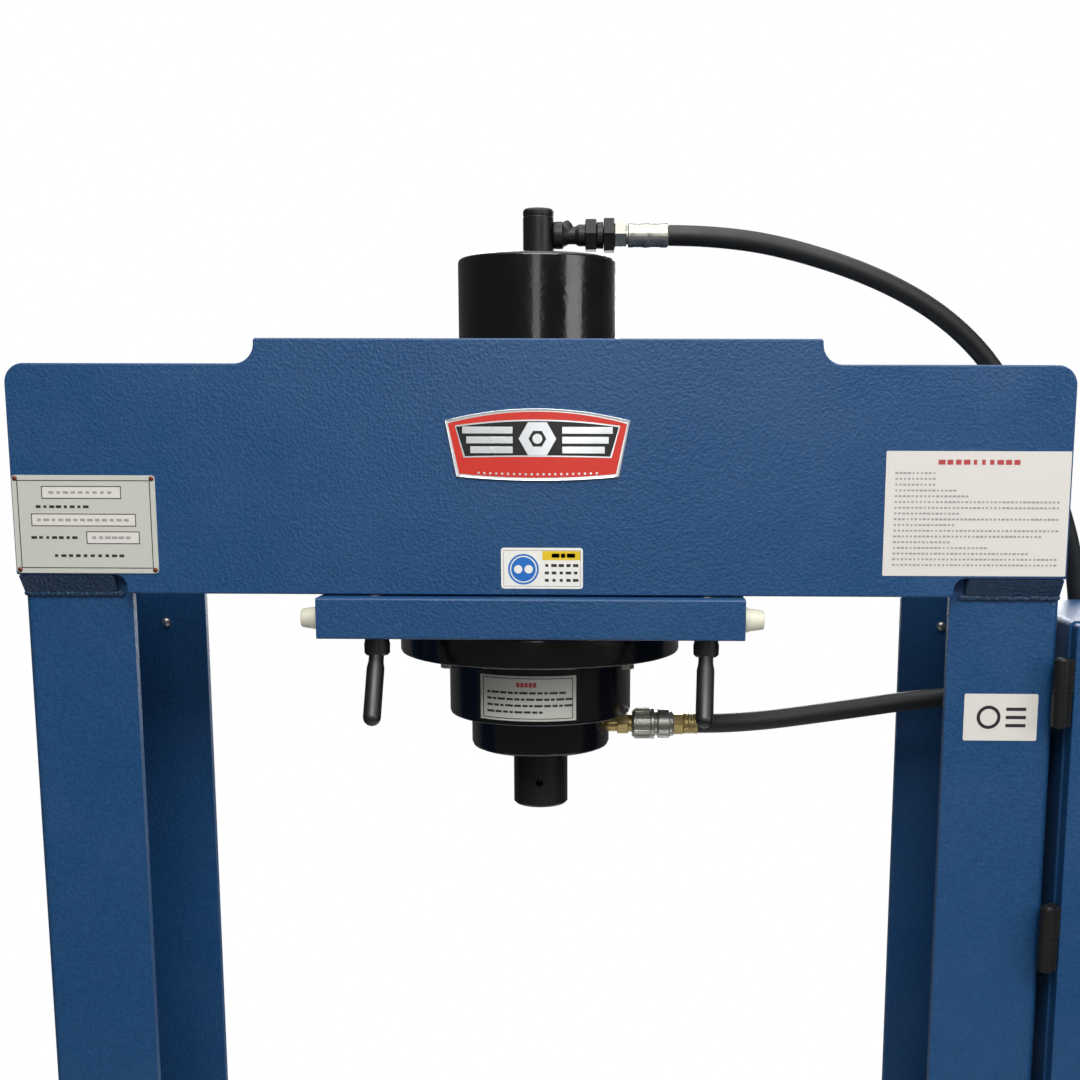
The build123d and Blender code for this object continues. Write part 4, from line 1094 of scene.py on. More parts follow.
    def _flange(self) -> None:
        """The mounting flange, its spot-faced pads, and bolts with spring washers."""
        radius, low, high = self.flange
        mesh = bmesh.new()
        turn(mesh, [(self.barrel, low), *self._rim(radius, low, high), (self.barrel, high)],
             self.axis, 128, 0.4 * MM)
        spots = [(AXIS_X + self.bolt_circle * math.cos(math.radians(a)),
                  self.bolt_circle * math.sin(math.radians(a)), low - 7 * MM) for a in self.bolt_angles]
        for x, y, z in spots:
            turn(mesh, [(0, z), (9.4 * MM, z), (10 * MM, z + 0.6 * MM), (10 * MM, low + 0.5 * MM),
                        (0, low + 0.5 * MM)], Matrix.Translation((x, y, 0)), 32)
        settle(to_object(mesh, "cylinder_flange_look", BLACK_GLOSS), "cylinder_flange")
        bolt = bmesh.new()
        turn(bolt, disc(8.6, -1.6, -0.05, bore=3), UPRIGHT, 32, 0.2 * MM)
        six_sided(bolt, 15.4 * MM, -6.4 * MM, -1.6 * MM, UPRIGHT, 0.7 * MM)
        turn(bolt, mm((0, -6.42), (6.4, -6.42), (6.8, -6.0), (0, -6.0)), UPRIGHT, 24)
        piece = copies("flange_bolt_heads", hidden(bolt, "flange_bolt"), spots, ZINC)
        settle(piece, "flange_bolts")

    def _gland(self) -> None:
        """Gland ring, gland nut with a shallow groove, and the wiper ring."""
        radius, low, high = self.gland
        ring_mesh = bmesh.new()
        turn(ring_mesh, [(50.5 * MM, low), *self._rim(radius, low, high), (self.barrel, high),
                         (self.barrel, low + 12 * MM), (50.5 * MM, low + 12 * MM)], self.axis, 112, 0.4 * MM)
        settle(to_object(ring_mesh, "gland_ring_look", BLACK_GLOSS), "gland_ring")
        radius, low, high = self.nut
        nut = bmesh.new()
        turn(nut, [(31.1 * MM, low), (radius - 6 * MM, low), (radius - 1.8 * MM, low + 1.8 * MM),
                   (radius, low + 6 * MM), (radius, high - 3.5 * MM), (radius - 1.2 * MM, high - 1 * MM),
                   (radius - 4 * MM, high), (31.1 * MM, high)], self.axis, 104, 0.4 * MM)
        settle(to_object(nut, "gland_nut_look", BLACK_GLOSS), "gland_nut")
        wiper = bmesh.new()
        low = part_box("rod_wiper")[0].z
        turn(wiper, [(31.15 * MM, low + 1.6 * MM), (32.4 * MM, low), (35 * MM, low),
                     (36.4 * MM, low + 1.4 * MM), (40 * MM, low + 1.8 * MM), (40 * MM, low + 3.9 * MM),
                     (31.15 * MM, low + 3.9 * MM)], self.axis, 72, 0.2 * MM)
        settle(to_object(wiper, "rod_wiper_look", SEAL), "rod_wiper")

    def _notice(self) -> None:
        """A thin aluminium plate bent round the gland ring, with a frame and rows of small marks."""
        low, high = 1351 * MM, 1400 * MM
        plate_mesh = bmesh.new()
        self._patch(plate_mesh, 103.1 * MM, 104.6 * MM, (235, 295), (low, high))
        settle(to_object(plate_mesh, "notice_plate_look", LABEL_METAL), "notice_plate")
        marks, red = bmesh.new(), bmesh.new()
        inner, outer = 104.5 * MM, 104.75 * MM
        for angles, heights in (((237, 293), (low + 2.2 * MM, low + 3.0 * MM)),
                                ((237, 293), (high - 3.0 * MM, high - 2.2 * MM)),
                                ((237, 237.5), (low + 2.2 * MM, high - 2.2 * MM)),
                                ((292.5, 293), (low + 2.2 * MM, high - 2.2 * MM))):
            self._patch(marks, inner, outer, angles, heights)
        for row in range(4):
            angle, number = 240.0, 0
            while angle < 289 - (14 if row == 3 else 0):
                step = 2.2 + (number * 7 + row * 5) % 4 * 0.9
                top = high - 17 * MM - row * 7 * MM
                self._patch(marks, inner, outer, (angle, angle + step), (top - 2.4 * MM, top))
                angle += step + 0.9
                number += 1
        for i in range(5):
            self._patch(red, inner, outer, (259 + i * 2.5, 261 + i * 2.5), (high - 12 * MM, high - 7 * MM))
        settle(to_object(marks, "notice_marks", INK), body="carriage", slot="label_metal")
        settle(to_object(red, "notice_heading", VINYL_RED), body="carriage", slot="label_metal")

    @staticmethod
    def _patch(mesh: bmesh.types.BMesh, inner: float, outer: float, angles: tuple[float, float],
               heights: tuple[float, float]) -> None:
        """Add a thin curved plate round the cylinder's axis.

        Args:
            mesh: the mesh that gets it.
            inner: its inner radius.
            outer: its outer radius.
            angles: where it starts and ends, in degrees.
            heights: its lowest and highest Z.
        """
        steps = max(1, round((angles[1] - angles[0]) / 2.5))
        rows = []
        for i in range(steps + 1):
            turned = math.radians(angles[0] + (angles[1] - angles[0]) * i / steps)
            rows.append([mesh.verts.new((AXIS_X + r * math.cos(turned), r * math.sin(turned), z))
                         for r, z in ((inner, heights[0]), (outer, heights[0]), (outer, heights[1]),
                                      (inner, heights[1]))])
        for a, b in zip(rows, rows[1:]):
            for k in range(4):
                mesh.faces.new((a[k], b[k], b[(k + 1) % 4], a[(k + 1) % 4]))
        mesh.faces.new(rows[0])
        mesh.faces.new(rows[-1][::-1])
        bmesh.ops.recalc_face_normals(mesh, faces=mesh.faces)


@dataclass
class Ram:
    """The ram with its tool socket, and the piston inside the barrel."""

    def build(self) -> None:
        """Dress the ram, and keep the hidden piston."""
        rounded("ram_rod", BLACK_OXIDE, 0.6)
        rounded("piston", GROUND, 0.8)
        keep("piston_seals", SEAL)


@dataclass
class ClampLever:
    """A handle that tightens the carriage against the head, with its stud."""
    side: Side
    arm: float = 9.2 * MM

    def build(self) -> None:
        """Make the hub, the arm and the stud."""
        name = self.side.name.lower()
        node = f"{name}_clamp_lever"
        x = AXIS_X + (-162 if self.side is Side.LEFT else 181) * MM
        lean = 0.0 if self.side is Side.LEFT else -3 * MM
        hub = Vector((x, -140 * MM, 1428.1 * MM))
        mesh = bmesh.new()
        turn(mesh, mm((0, 0), (11, 0), (13.2, 2.2), (13.5, 12), (12.6, 15), (12.6, 18.6), (11.6, 19.9),
                      (0, 19.9)), Matrix.Translation(hub), 40, 0.4 * MM)
        start = hub + Vector((0, 0, 9.2 * MM))
        end = Vector((x + lean, -180 * MM, 1369.3 * MM))
        length = (end - start).length
        cap = [(self.arm * math.cos(a), length + self.arm * math.sin(a)) for a in
               (math.radians(d) for d in (0, 18, 36, 54, 72))]
        profile = [(0, -4 * MM), (7.6 * MM, -4 * MM), (7.8 * MM, 14 * MM), (7.9 * MM, 18 * MM),
                   (self.arm, 25 * MM), *cap, (0, length + self.arm)]
        turn(mesh, profile, frame_along(start, end), 32)
        settle(to_object(mesh, f"{node}_look", PHENOLIC), node)
        stud = bmesh.new()
        turn(stud, mm((0, 1447.5), (7.6, 1447.5), (7.95, 1449), (7.95, 1490.4), (6.8, 1491.5), (0, 1491.5)),
             Matrix.Translation((x, -140 * MM, 0)), 28, 0.2 * MM)
        settle(to_object(stud, f"{name}_clamp_stud", ZINC), body=f"{name}_clamp", slot="zinc_plated_steel")


# ---------------------------------------------------------------- fittings
@dataclass
class PortFittings:
    """The elbow, swivel nut and crimped ferrule above, and the quick coupler below."""
    upper: float = 1869.8 * MM
    lower: float = 1329.5 * MM

    def _along(self, height: float) -> Matrix:
        """Puts local Z along +X from the cylinder's axis at a height."""
        return facing((AXIS_X, 0, height), RIGHTWARD)

    def build(self) -> None:
        """Make both rows of fittings."""
        self._upper()
        self._lower()

    def _upper(self) -> None:
        """The elbow screwed into the post, its nuts, and the bright ferrule with its crimps."""
        place = self._along(self.upper)
        dark = bmesh.new()
        turn(dark, mm((0, 16), (13.5, 16), (14.5, 18.5), (14.5, 26), (12, 28), (9.4, 33), (9.4, 40),
                      (11.5, 44), (11.5, 51.2), (0, 51.2)), place, 40, 0.5 * MM)
        turn(dark, mm((0, -3), (7, -3), (9, 0), (9.5, 9), (8, 14), (0, 16)),
             frame_along((AXIS_X + 33 * MM, 0, self.upper), (AXIS_X + 24 * MM, 0, self.upper + 14 * MM)),
             28, 0.5 * MM)
        six_sided(dark, 32 * MM, 51 * MM, 63.5 * MM, place, 1.6 * MM)
        turn(dark, mm((0, 63.5), (13.4, 63.5), (14, 64.5), (14, 70.4), (0, 71.2)), place, 36, 0.3 * MM)
        six_sided(dark, 34 * MM, 71 * MM, 83 * MM, place, 1.6 * MM)
        settle(to_object(dark, "top_fitting_look", BLACK_OXIDE), "top_fitting")
        bright = bmesh.new()
        six_sided(bright, 25 * MM, 83 * MM, 95.5 * MM, place, 1.2 * MM)
        turn(bright, self._crimps(97 * MM, 141 * MM, 13 * MM, 2), place, 56, 0.25 * MM)
        turn(bright, disc(9.5, 95.3, 97.5), place, 32)
        settle(to_object(bright, "hose_ferrules_look", ZINC), "hose_ferrules")

    def _lower(self) -> None:
        """The union, the knurled sleeve of the quick coupler, and the yellow hose tail."""
        place = self._along(self.lower)
        tail = bmesh.new()
        turn(tail, disc(9.8, 62.6, 89), place, 32)
        six_sided(tail, 22 * MM, 88.2 * MM, 101 * MM, place, 1.1 * MM)
        turn(tail, disc(10.2, 101, 107), place, 32, 0.3 * MM)
        six_sided(tail, 23 * MM, 152.6 * MM, 164 * MM, place, 1.1 * MM)
        turn(tail, self._crimps(163.8 * MM, 181 * MM, 12 * MM, 3), place, 48, 0.25 * MM)
        settle(to_object(tail, "brass_unions", YELLOW_ZINC), body="carriage", slot="zinc_plated_steel")
        sleeve = bmesh.new()
        turn(sleeve, mm((0, 105), (14.6, 105), (15.4, 106.4), (17.0, 107.4), (17.0, 126.2), (18, 127.2),
                        (18, 130.4), (14.2, 131.2), (14.0, 134), (16, 134.6), (17, 136), (17, 147.5),
                        (15, 148.5), (14.6, 151.5), (13.4, 153), (0, 153)), place, 64, 0.3 * MM)
        settle(to_object(sleeve, "quick_coupler_look", ZINC), "quick_coupler")
        ridge = cube((1.5 * MM, 1.5 * MM, 17 * MM), (0.1 * MM, 0, 8.8 * MM))
        round_edges(ridge, 0.35 * MM, segments=1)
        start = facing((AXIS_X + 108.2 * MM, 0, self.lower), RIGHTWARD)
        knurl = ring("coupler_knurl", hidden(ridge, "knurl_ridge"), 36, 17.0 * MM, start, ZINC)
        settle(knurl, body="carriage", slot="zinc_plated_steel")

    @staticmethod
    def _crimps(low: float, high: float, radius: float, count: int) -> Outline:
        """A ferrule's profile, swaged in a row of shallow bands.

        Args:
            low: where it starts.
            high: where it ends.
            radius: its largest radius.
            count: how many bands.

        Returns:
            The profile for a turned shell.
        """
        points = [(0.0, low), (radius - 1.2 * MM, low), (radius, low + 1.2 * MM)]
        pitch = (high - low - 8 * MM) / count
        for i in range(count):
            start = low + 4 * MM + i * pitch
            points += [(radius, start), (radius - 0.6 * MM, start + pitch * 0.2),
                       (radius - 0.6 * MM, start + pitch * 0.6), (radius, start + pitch * 0.8)]
        return points + [(radius, high - 1 * MM), (radius - 0.8 * MM, high), (0.0, high)]


# ---------------------------------------------------------------- plates and labels
INK_DEPTH = 0.15 * MM               # how far a printed mark reaches back into its film


@dataclass
class NameBadge:
    """A die-struck shield with enamel panels and a plain hexagon emblem."""
    half: float = 93.5 * MM
    height: float = 1646 * MM
    thick: float = 2.5 * MM

    def build(self) -> None:
        """Stack the rim, the red field, the black panel and the emblem."""
        rim = bmesh.new()
        plate(rim, self._shield(0.0), HEAD_FRONT - self.thick, self.thick - 0.05 * MM)
        front = min(rim.faces, key=lambda f: f.calc_center_median().y)
        bmesh.ops.inset_region(rim, faces=[front], thickness=2.6 * MM, depth=0.0)
        for vert in front.verts:
            vert.co.y += 1.1 * MM
        round_edges(rim, 0.35 * MM, 40.0)
        settle(to_object(rim, "name_badge_rim", BRIGHT_RIM), "name_badge")
        layers = (("red_field", 3.0, 1.7, RED_ENAMEL), ("inner_line", 10.0, 1.85, BRIGHT_RIM),
                  ("black_panel", 11.4, 2.0, BLACK_ENAMEL))
        for name, inset, front_mm, finish in layers:
            mesh = bmesh.new()
            plate(mesh, self._shield(inset * MM, name != "red_field"), HEAD_FRONT - front_mm * MM, 0.5 * MM)
            settle(to_object(mesh, f"badge_{name}", finish), body="frame", slot="label_metal")
        self._emblem()

    def _shield(self, inset: float, panel: bool = False) -> Outline:
        """The shield's outline, curved above and below.

        Args:
            inset: how far inside the badge's edge.
            panel: whether this is the panel, which ends above the lower band.

        Returns:
            (x, z) points round it.
        """
        points = []
        steps = 24
        wide, low_wide = self.half - inset, self.half - 11 * MM - inset
        low_edge = -33 * MM + inset + (9 * MM if panel else 0.0)
        if panel:
            low_wide += 2.4 * MM
        for i in range(steps + 1):
            t = 2 * i / steps - 1
            rise = 28 + 6 * (1 - t * t) if panel else 23 + 12 * (1 - t * t)
            points.append((t * wide, self.height + rise * MM - inset))
        for i in range(steps + 1):
            t = 1 - 2 * i / steps
            points.append((t * low_wide, self.height + low_edge - 4 * MM * (1 - t * t) + (
                5 * MM * (1 - t * t) if panel else 0.0)))
        return points

    def _emblem(self) -> None:
        """A hexagon nut between rows of plain bars, and a row of dots on the lower band."""
        mesh = bmesh.new()
        front, thick = HEAD_FRONT - 2.45 * MM, 0.6 * MM
        place = facing((0, front + thick, self.height + 5 * MM), FORWARD)
        turn(mesh, [(9 * MM, 0), (19 * MM, 0), (19 * MM, thick), (9 * MM, thick)], place, 6)
        turn(mesh, [(0, 0), (5 * MM, 0), (5 * MM, thick), (0, thick)], place, 32)
        for side in Side:
            for row, (start, end) in enumerate(((25, 76), (25, 72), (25, 68))):
                z = self.height + (13.4 - row * 9.8) * MM
                ends = sorted((side.value * start * MM, side.value * end * MM))
                slab(mesh, (ends[0], front, z - 3.4 * MM), (ends[1], front + thick, z + 3.4 * MM), 0.2 * MM)
        settle(to_object(mesh, "badge_emblem", BRIGHT_RIM), body="frame", slot="label_metal")
        dot = bmesh.new()
        turn(dot, mm((0, 0), (1.3, 0), (1.1, 0.4), (0, 0.4)), UPRIGHT, 16)
        spots = [(x * 6.0 * MM, HEAD_FRONT - 1.7 * MM, self.height - 29 * MM - (1 - (x / 11) ** 2) * 1.6 * MM)
                 for x in range(-10, 11)]
        dots = copies("badge_dots", hidden(dot, "badge_dot"), spots, BRIGHT_RIM, (math.pi / 2, 0, 0))
        settle(dots, body="frame", slot="label_metal")


@dataclass
class FlatLabel:
    """A printed film or metal plate on a flat face that looks to the front."""
    name: str
    low: tuple[float, float]
    high: tuple[float, float]
    wall: float
    finish: Finish
    thick: float = 0.6 * MM
    corner: float = 2.5 * MM
    slot: str = "vinyl_label"
    node: str = ""

    def build(self) -> None:
        """Make the film itself."""
        mesh = bmesh.new()
        corners = [(self.low[0], self.low[1]), (self.high[0], self.low[1]), (self.high[0], self.high[1]),
                   (self.low[0], self.high[1])]
        plate(mesh, round_corners(corners, self.corner), self.wall - self.thick + 0.15 * MM,
              self.thick - 0.15 * MM - 0.02 * MM, 0.06 * MM)
        piece = to_object(mesh, self.name, self.finish)
        if self.node:
            settle(piece, self.node)
        else:
            self.add(piece)

    def add(self, piece: bpy.types.Object) -> None:
        """Ride a printed piece on the frame."""
        settle(piece, body="frame", slot=self.slot)

    @property
    def face(self) -> float:
        """Y of the print's front."""
        return self.wall - self.thick + 0.05 * MM

    def block(self, name: str, boxes: Iterable[tuple[float, float, float, float]], finish: Finish) -> None:
        """Print plain rectangles.

        Args:
            name: the print's name.
            boxes: (x, z, x, z) of low and high corners, in millimetres from the label's low corner.
            finish: the ink.
        """
        mesh = bmesh.new()
        for x0, z0, x1, z1 in boxes:
            slab(mesh, (self.low[0] + x0 * MM, self.face, self.low[1] + z0 * MM),
                 (self.low[0] + x1 * MM, self.face + INK_DEPTH, self.low[1] + z1 * MM))
        self.add(to_object(mesh, f"{self.name}_{name}", finish))

    def frame_line(self, name: str, inset: float, width: float, finish: Finish) -> None:
        """Print a thin line round the label, in millimetres from its edge."""
        wide, high = (self.high[0] - self.low[0]) / MM, (self.high[1] - self.low[1]) / MM
        a, b = inset, inset + width
        self.block(name, ((a, a, wide - a, b), (a, high - b, wide - a, high - a),
                          (a, b, b, high - b), (wide - b, b, wide - a, high - b)), finish)


@dataclass
class Labels:
    """Every plate and film on the head and the right leg, printed with plain marks only."""
    saddle: float = 1511 * MM

    def build(self) -> None:
        """Make the data plate and the three films."""
        self._data_plate()
        self._instruction_sheet()
        self._care_label()
        self._leg_label()

    def _data_plate(self) -> None:
        """Aluminium plate with a dark line, three boxes, rows of marks and four rivets."""
        label = FlatLabel("data_plate_look", (-538 * MM, self.saddle + 2 * MM),
                          (-391 * MM, self.saddle + 102 * MM), HEAD_FRONT, LABEL_METAL, 1.5 * MM, 4 * MM,
                          "label_metal", "data_plate")
        label.build()
        label.frame_line("border", 5.0, 0.9, INK)
        boxes = ((30, 76, 112, 89), (18, 48, 126, 61), (74, 30, 129, 43))
        lines = []
        for x0, z0, x1, z1 in boxes:
            lines += [(x0, z0, x1, z0 + 0.8), (x0, z1 - 0.8, x1, z1), (x0, z0, x0 + 0.8, z1),
                      (x1 - 0.8, z0, x1, z1)]
        label.block("boxes", lines, INK)
        pale = [(x0 + 1.2, z0 + 1.2, x1 - 1.2, z1 - 1.2) for x0, z0, x1, z1 in boxes]
        label.block("fields", pale, VINYL)
        x, z = label.low
        for letter, x_mm, z_mm, columns, pitch_mm, seed, ink in (
                ("a", 40, 82.5, 9, 7.5, 3, VINYL_GREY), ("b", 26, 68, 8, 7.0, 4, INK),
                ("c", 26, 54.5, 13, 7.5, 5, VINYL_GREY), ("d", 20, 36.5, 7, 7.0, 6, INK),
                ("e", 82, 36.5, 6, 7.0, 7, VINYL_GREY), ("f", 42, 18, 10, 7.5, 8, INK)):
            marks = PrintedLines(f"data_plate_marks_{letter}", (x + x_mm * MM, z + z_mm * MM), columns, 1,
                                 (pitch_mm * MM, 4 * MM), 2.8 * MM, label.face - 0.04 * MM, ink, seed=seed)
            label.add(marks.build())
        rivet = bmesh.new()
        turn(rivet, mm((0, 0), (2.6, 0), (2.5, 0.5), (1.8, 1.1), (0.8, 1.35), (0, 1.4)), UPRIGHT, 24)
        wide, high = label.high
        spots = [(px, HEAD_FRONT - 1.3 * MM, pz) for px in (x + 3.4 * MM, wide - 3.4 * MM)
                 for pz in (z + 3.4 * MM, high - 3.4 * MM)]
        rivets = copies("data_plate_rivets", hidden(rivet, "rivet"), spots, COPPER, (math.pi / 2, 0, 0))
        label.add(rivets)

    def _instruction_sheet(self) -> None:
        """Large off-white film: a red heading and ten rows of marks."""
        label = FlatLabel("instruction_sheet", (352 * MM, self.saddle + 3 * MM),
                          (538 * MM, self.saddle + 129 * MM), HEAD_FRONT, VINYL, corner=1.5 * MM,
                          node="warning_labels")
        label.build()
        x, z = label.low
        heading = PrintedLines("sheet_heading", (x + 56 * MM, z + 115 * MM), 10, 1, (8.4 * MM, 4 * MM),
                               5.2 * MM, label.face, VINYL_RED, seed=12)
        label.add(heading.build())
        rows = PrintedLines("sheet_rows", (x + 11 * MM, z + 104 * MM), 40, 17, (4.2 * MM, 5.8 * MM), 2.1 * MM,
                            label.face, VINYL_GREY, seed=13, ragged=0.15)
        label.add(rows.build())

    def _care_label(self) -> None:
        """Small white film with a blue disc, a yellow bar and short rows."""
        label = FlatLabel("care_label", (-38 * MM, 1499 * MM), (46 * MM, 1541 * MM), HEAD_FRONT, VINYL_WHITE,
                          corner=3.5 * MM)
        label.build()
        label.frame_line("line", 2.4, 0.5, VINYL_GREY)
        label.block("yellow_bar", ((42.5, 29.5, 81.5, 38.8),), VINYL_YELLOW)
        label.block("bar_marks", ((52, 32, 60, 36.2), (61.5, 32, 66, 36.2), (67.5, 32, 76, 36.2)), INK)
        spot = bmesh.new()
        place = facing((label.low[0] + 23 * MM, label.face + INK_DEPTH, label.low[1] + 20 * MM), FORWARD)
        turn(spot, disc(15.8, 0, 0.15), place, 56)
        label.add(to_object(spot, "care_label_disc", VINYL_BLUE))
        mark = bmesh.new()
        turn(mark, disc(13.8, 0.1, 0.22, bore=12.6), place, 48)
        for dx in (-5.4, 5.4):
            eye = Matrix.Translation((dx * MM, 0, 0))
            turn(mark, disc(4.3, 0.1, 0.22), eye @ place, 28)
        label.add(to_object(mark, "care_label_mark", VINYL_WHITE))
        x, z = label.low
        rows = PrintedLines("care_label_rows", (x + 47 * MM, z + 24 * MM), 5, 3, (7.4 * MM, 7.6 * MM),
                            3.0 * MM, label.face, INK, seed=14)
        label.add(rows.build())

    def _leg_label(self) -> None:
        """Film on the leg: a plain ring beside three bars."""
        label = FlatLabel("leg_label", (446 * MM, 1339 * MM), (523 * MM, 1389 * MM), LEG_FRONT, VINYL,
                          corner=2 * MM)
        label.build()
        mark = bmesh.new()
        at = (label.low[0] + 26 * MM, label.low[1] + 25 * MM)
        place = facing((at[0], label.face + INK_DEPTH, at[1]), FORWARD)
        turn(mark, disc(12.5, 0, 0.15, bore=9), place, 48)
        for z in (14.5, 23.2, 32):
            slab(mark, (label.low[0] + 44 * MM, label.face, label.low[1] + z * MM),
                 (label.low[0] + 65 * MM, label.face + INK_DEPTH, label.low[1] + (z + 3.5) * MM))
        label.add(to_object(mark, "leg_label_mark", INK))


# ---------------------------------------------------------------- power unit
@dataclass
class PowerUnit:
    """The cabinet beside the right leg: shell, door, hinges, panel, and the pump set inside."""
    sheet: float = 3 * MM
    panel_x: float = 752 * MM
    gauge_height: float = 1346 * MM
    button_height: float = 1231 * MM
    button_spacing: float = 70 * MM
    first_reading: float = 225.0
    reading_step: float = 9.0

    def build(self) -> None:
        """Make the cabinet and what it holds."""
        self._shell()
        rounded("cabinet_door", BLUE, 1.6)
        self._door_trim()
        self._hinges()
        self._handle()
        self._gauge()
        self._buttons()
        self._pump_set()
        self._plumbing()

    def _shell(self) -> None:
        """The shell, folded from sheet, with a seal round its mouth and louvres in its back wall."""
        low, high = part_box("cabinet_shell")
        size, centre = high - low, (low + high) / 2
        part = cube(size, centre)
        along = [e for e in part.edges if abs((e.verts[0].co - e.verts[1].co).y) > size.y / 2]
        bmesh.ops.bevel(part, geom=along, offset=6 * MM, segments=4, profile=0.5, affect="EDGES")
        mouth = [f for f in part.faces if f.calc_center_median().y < low.y + 1 * MM]
        bmesh.ops.delete(part, geom=mouth, context="FACES")
        bmesh.ops.recalc_face_normals(part, faces=part.faces)
        if sum(f.normal.dot(f.calc_center_median() - centre) for f in part.faces) < 0:
            bmesh.ops.reverse_faces(part, faces=part.faces)
        shell = to_object(part, "cabinet_shell_look", BLUE)
        wall = shell.modifiers.new("wall", "SOLIDIFY")
        wall.thickness, wall.offset, wall.use_even_offset = self.sheet, -1.0, True
        settle(dress(final_mesh(shell), "cabinet_shell_look", BLUE), "cabinet_shell")
        seal = bmesh.new()
        y0, y1 = low.y - 1.6 * MM, low.y + 0.2 * MM
        edge, inner = 4 * MM, 10 * MM
        for x0, z0, x1, z1 in ((low.x + edge, low.z + edge, low.x + inner, high.z - edge),
                               (high.x - inner, low.z + edge, high.x - edge, high.z - edge),
                               (low.x + inner, low.z + edge, high.x - inner, low.z + inner),
                               (low.x + inner, high.z - inner, high.x - inner, high.z - edge)):
            slab(seal, (x0, y0, z0), (x1, y1, z1), 0.5 * MM)
        settle(to_object(seal, "cabinet_seal", SEAL), body="frame", slot="seal_rubber")
        louvre = bmesh.new()
        turn(louvre, mm((0, -70), (1.6, -69), (2.8, -65), (2.8, 65), (1.6, 69), (0, 70)),
             Matrix.Rotation(math.pi / 2, 4, "Y"), 12)
        spots = [(high.x - 150 * MM, high.y - 0.4 * MM, high.z - (60 + 14 * i) * MM) for i in range(12)]
        settle(copies("cabinet_louvres", hidden(louvre, "louvre"), spots, BLUE), body="frame",
               slot="blue_powder_coat")

    def _door_trim(self) -> None:
        """A small rivet near each of the door's corners on the hinge side."""
        low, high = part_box("cabinet_door")
        mesh = bmesh.new()
        for z in (high.z - 26 * MM, low.z + 26 * MM):
            at = (low.x + 7 * MM, low.y, z)
            turn(mesh, mm((0, -0.4), (3.4, -0.4), (3.4, 0.2), (2.6, 1.0), (1.2, 1.5), (0, 1.6)),
                 facing(at, FORWARD), 28)
        settle(to_object(mesh, "door_rivets", ZINC), body="door", slot="zinc_plated_steel")

    def _hinges(self) -> None:
        """Three knuckle hinges: leaves, knuckles with end caps, and screws."""
        for node, finish in (("hinge_frame_halves", BLACK_OXIDE), ("hinge_door_halves", BLACK_OXIDE)):
            rounded(node, finish, 0.6)
        mesh = bmesh.new()
        tops = [(1428 - 266 * i) * MM for i in range(3)]
        for top in tops:
            for z, way in ((top - 0.05 * MM, 1), (top - 69.95 * MM, -1)):
                at = (541 * MM, -148 * MM, z)
                turn(mesh, mm((0, -0.2), (6, -0.2), (5.2, 1.4), (2.5, 2.2), (0, 2.4)),
                     facing(at, (0, 0, way)), 24)
        settle(to_object(mesh, "hinge_caps", BLACK_OXIDE), body="frame", slot="black_oxide_steel")

    def _handle(self) -> None:
        """A bow handle: one bent bar with a flange at each foot."""
        low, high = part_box("door_handle")
        x, bar = (low.x + high.x) / 2, 6 * MM
        out, wall = -181 * MM, HEAD_FRONT
        path = [(wall, low.z + bar), (out, low.z + bar), (out, high.z - bar), (wall, high.z - bar)]
        data = bpy.data.curves.new("handle_line", "CURVE")
        data.dimensions, data.bevel_depth, data.bevel_resolution = "3D", bar - 0.2 * MM, 6
        corners = round_corners(path, 9 * MM, 6)[7:-7]
        line = [path[0], *corners, path[-1]]
        spline = data.splines.new("POLY")
        spline.points.add(len(line) - 1)
        for point, (y, z) in zip(spline.points, line):
            point.co = (x, y, z, 1.0)
        data.use_fill_caps = True
        mesh = bmesh.new()
        mesh.from_mesh(final_mesh(link("handle_line", data)))
        for end in (low.z + bar, high.z - bar):
            turn(mesh, mm((0, 0.05), (10, 0.05), (10, 2.2), (7.4, 3.4), (0, 3.4)),
                 facing((x, HEAD_FRONT, end), FORWARD), 32, 0.3 * MM)
        settle(to_object(mesh, "door_handle_look", PHENOLIC), "door_handle")

    def _gauge(self) -> None:
        """The pressure gauge: case and rim, white dial with numbered marks, needle and glass."""
        x, z = self.panel_x, self.gauge_height
        place = facing((x, HEAD_FRONT, z), FORWARD)
        case = bmesh.new()
        turn(case, mm((0, 0.05), (46, 0.05), (46, 20), (49.8, 21), (49.8, 27), (48.6, 28), (45.6, 28),
                      (45, 26.5), (45, 12), (0, 12)), place, 96, 0.3 * MM)
        settle(to_object(case, "gauge_case_look", PHENOLIC), "gauge_case")
        dial = bmesh.new()
        turn(dial, disc(44.8, 11.8, 12.6), place, 80)
        settle(to_object(dial, "gauge_dial", WHITE_CAP), body="door", slot="white_plastic")
        marks = bmesh.new()
        for i in range(31):
            turned = math.radians(self.first_reading - self.reading_step * i)
            length, width = (8, 1.2) if i % 5 == 0 else (4.5, 0.6)
            part = cube((length * MM, width * MM, 0.2 * MM), ((42 - length / 2) * MM, 0, 0))
            spin = Matrix(((math.cos(turned), -math.sin(turned), 0, 0), (0, 0, -1, 0),
                           (math.sin(turned), math.cos(turned), 0, 0), (0, 0, 0, 1)))
            add_part(marks, part, Matrix.Translation((x, HEAD_FRONT - 12.68 * MM, z)) @ spin)
            if i % 5 == 0:
                middle = (x + 27.5 * MM * math.cos(turned), z + 27.5 * MM * math.sin(turned))
                self._number(marks, str(i * 10), middle)
        settle(to_object(marks, "gauge_marks", INK), body="door", slot="black_plastic")
        needle = bmesh.new()
        turned = math.radians(self.first_reading)
        ahead = Vector((math.cos(turned), 0, math.sin(turned)))
        across = Vector((-math.sin(turned), 0, math.cos(turned)))
        hub = Vector((x, HEAD_FRONT - 18 * MM, z))
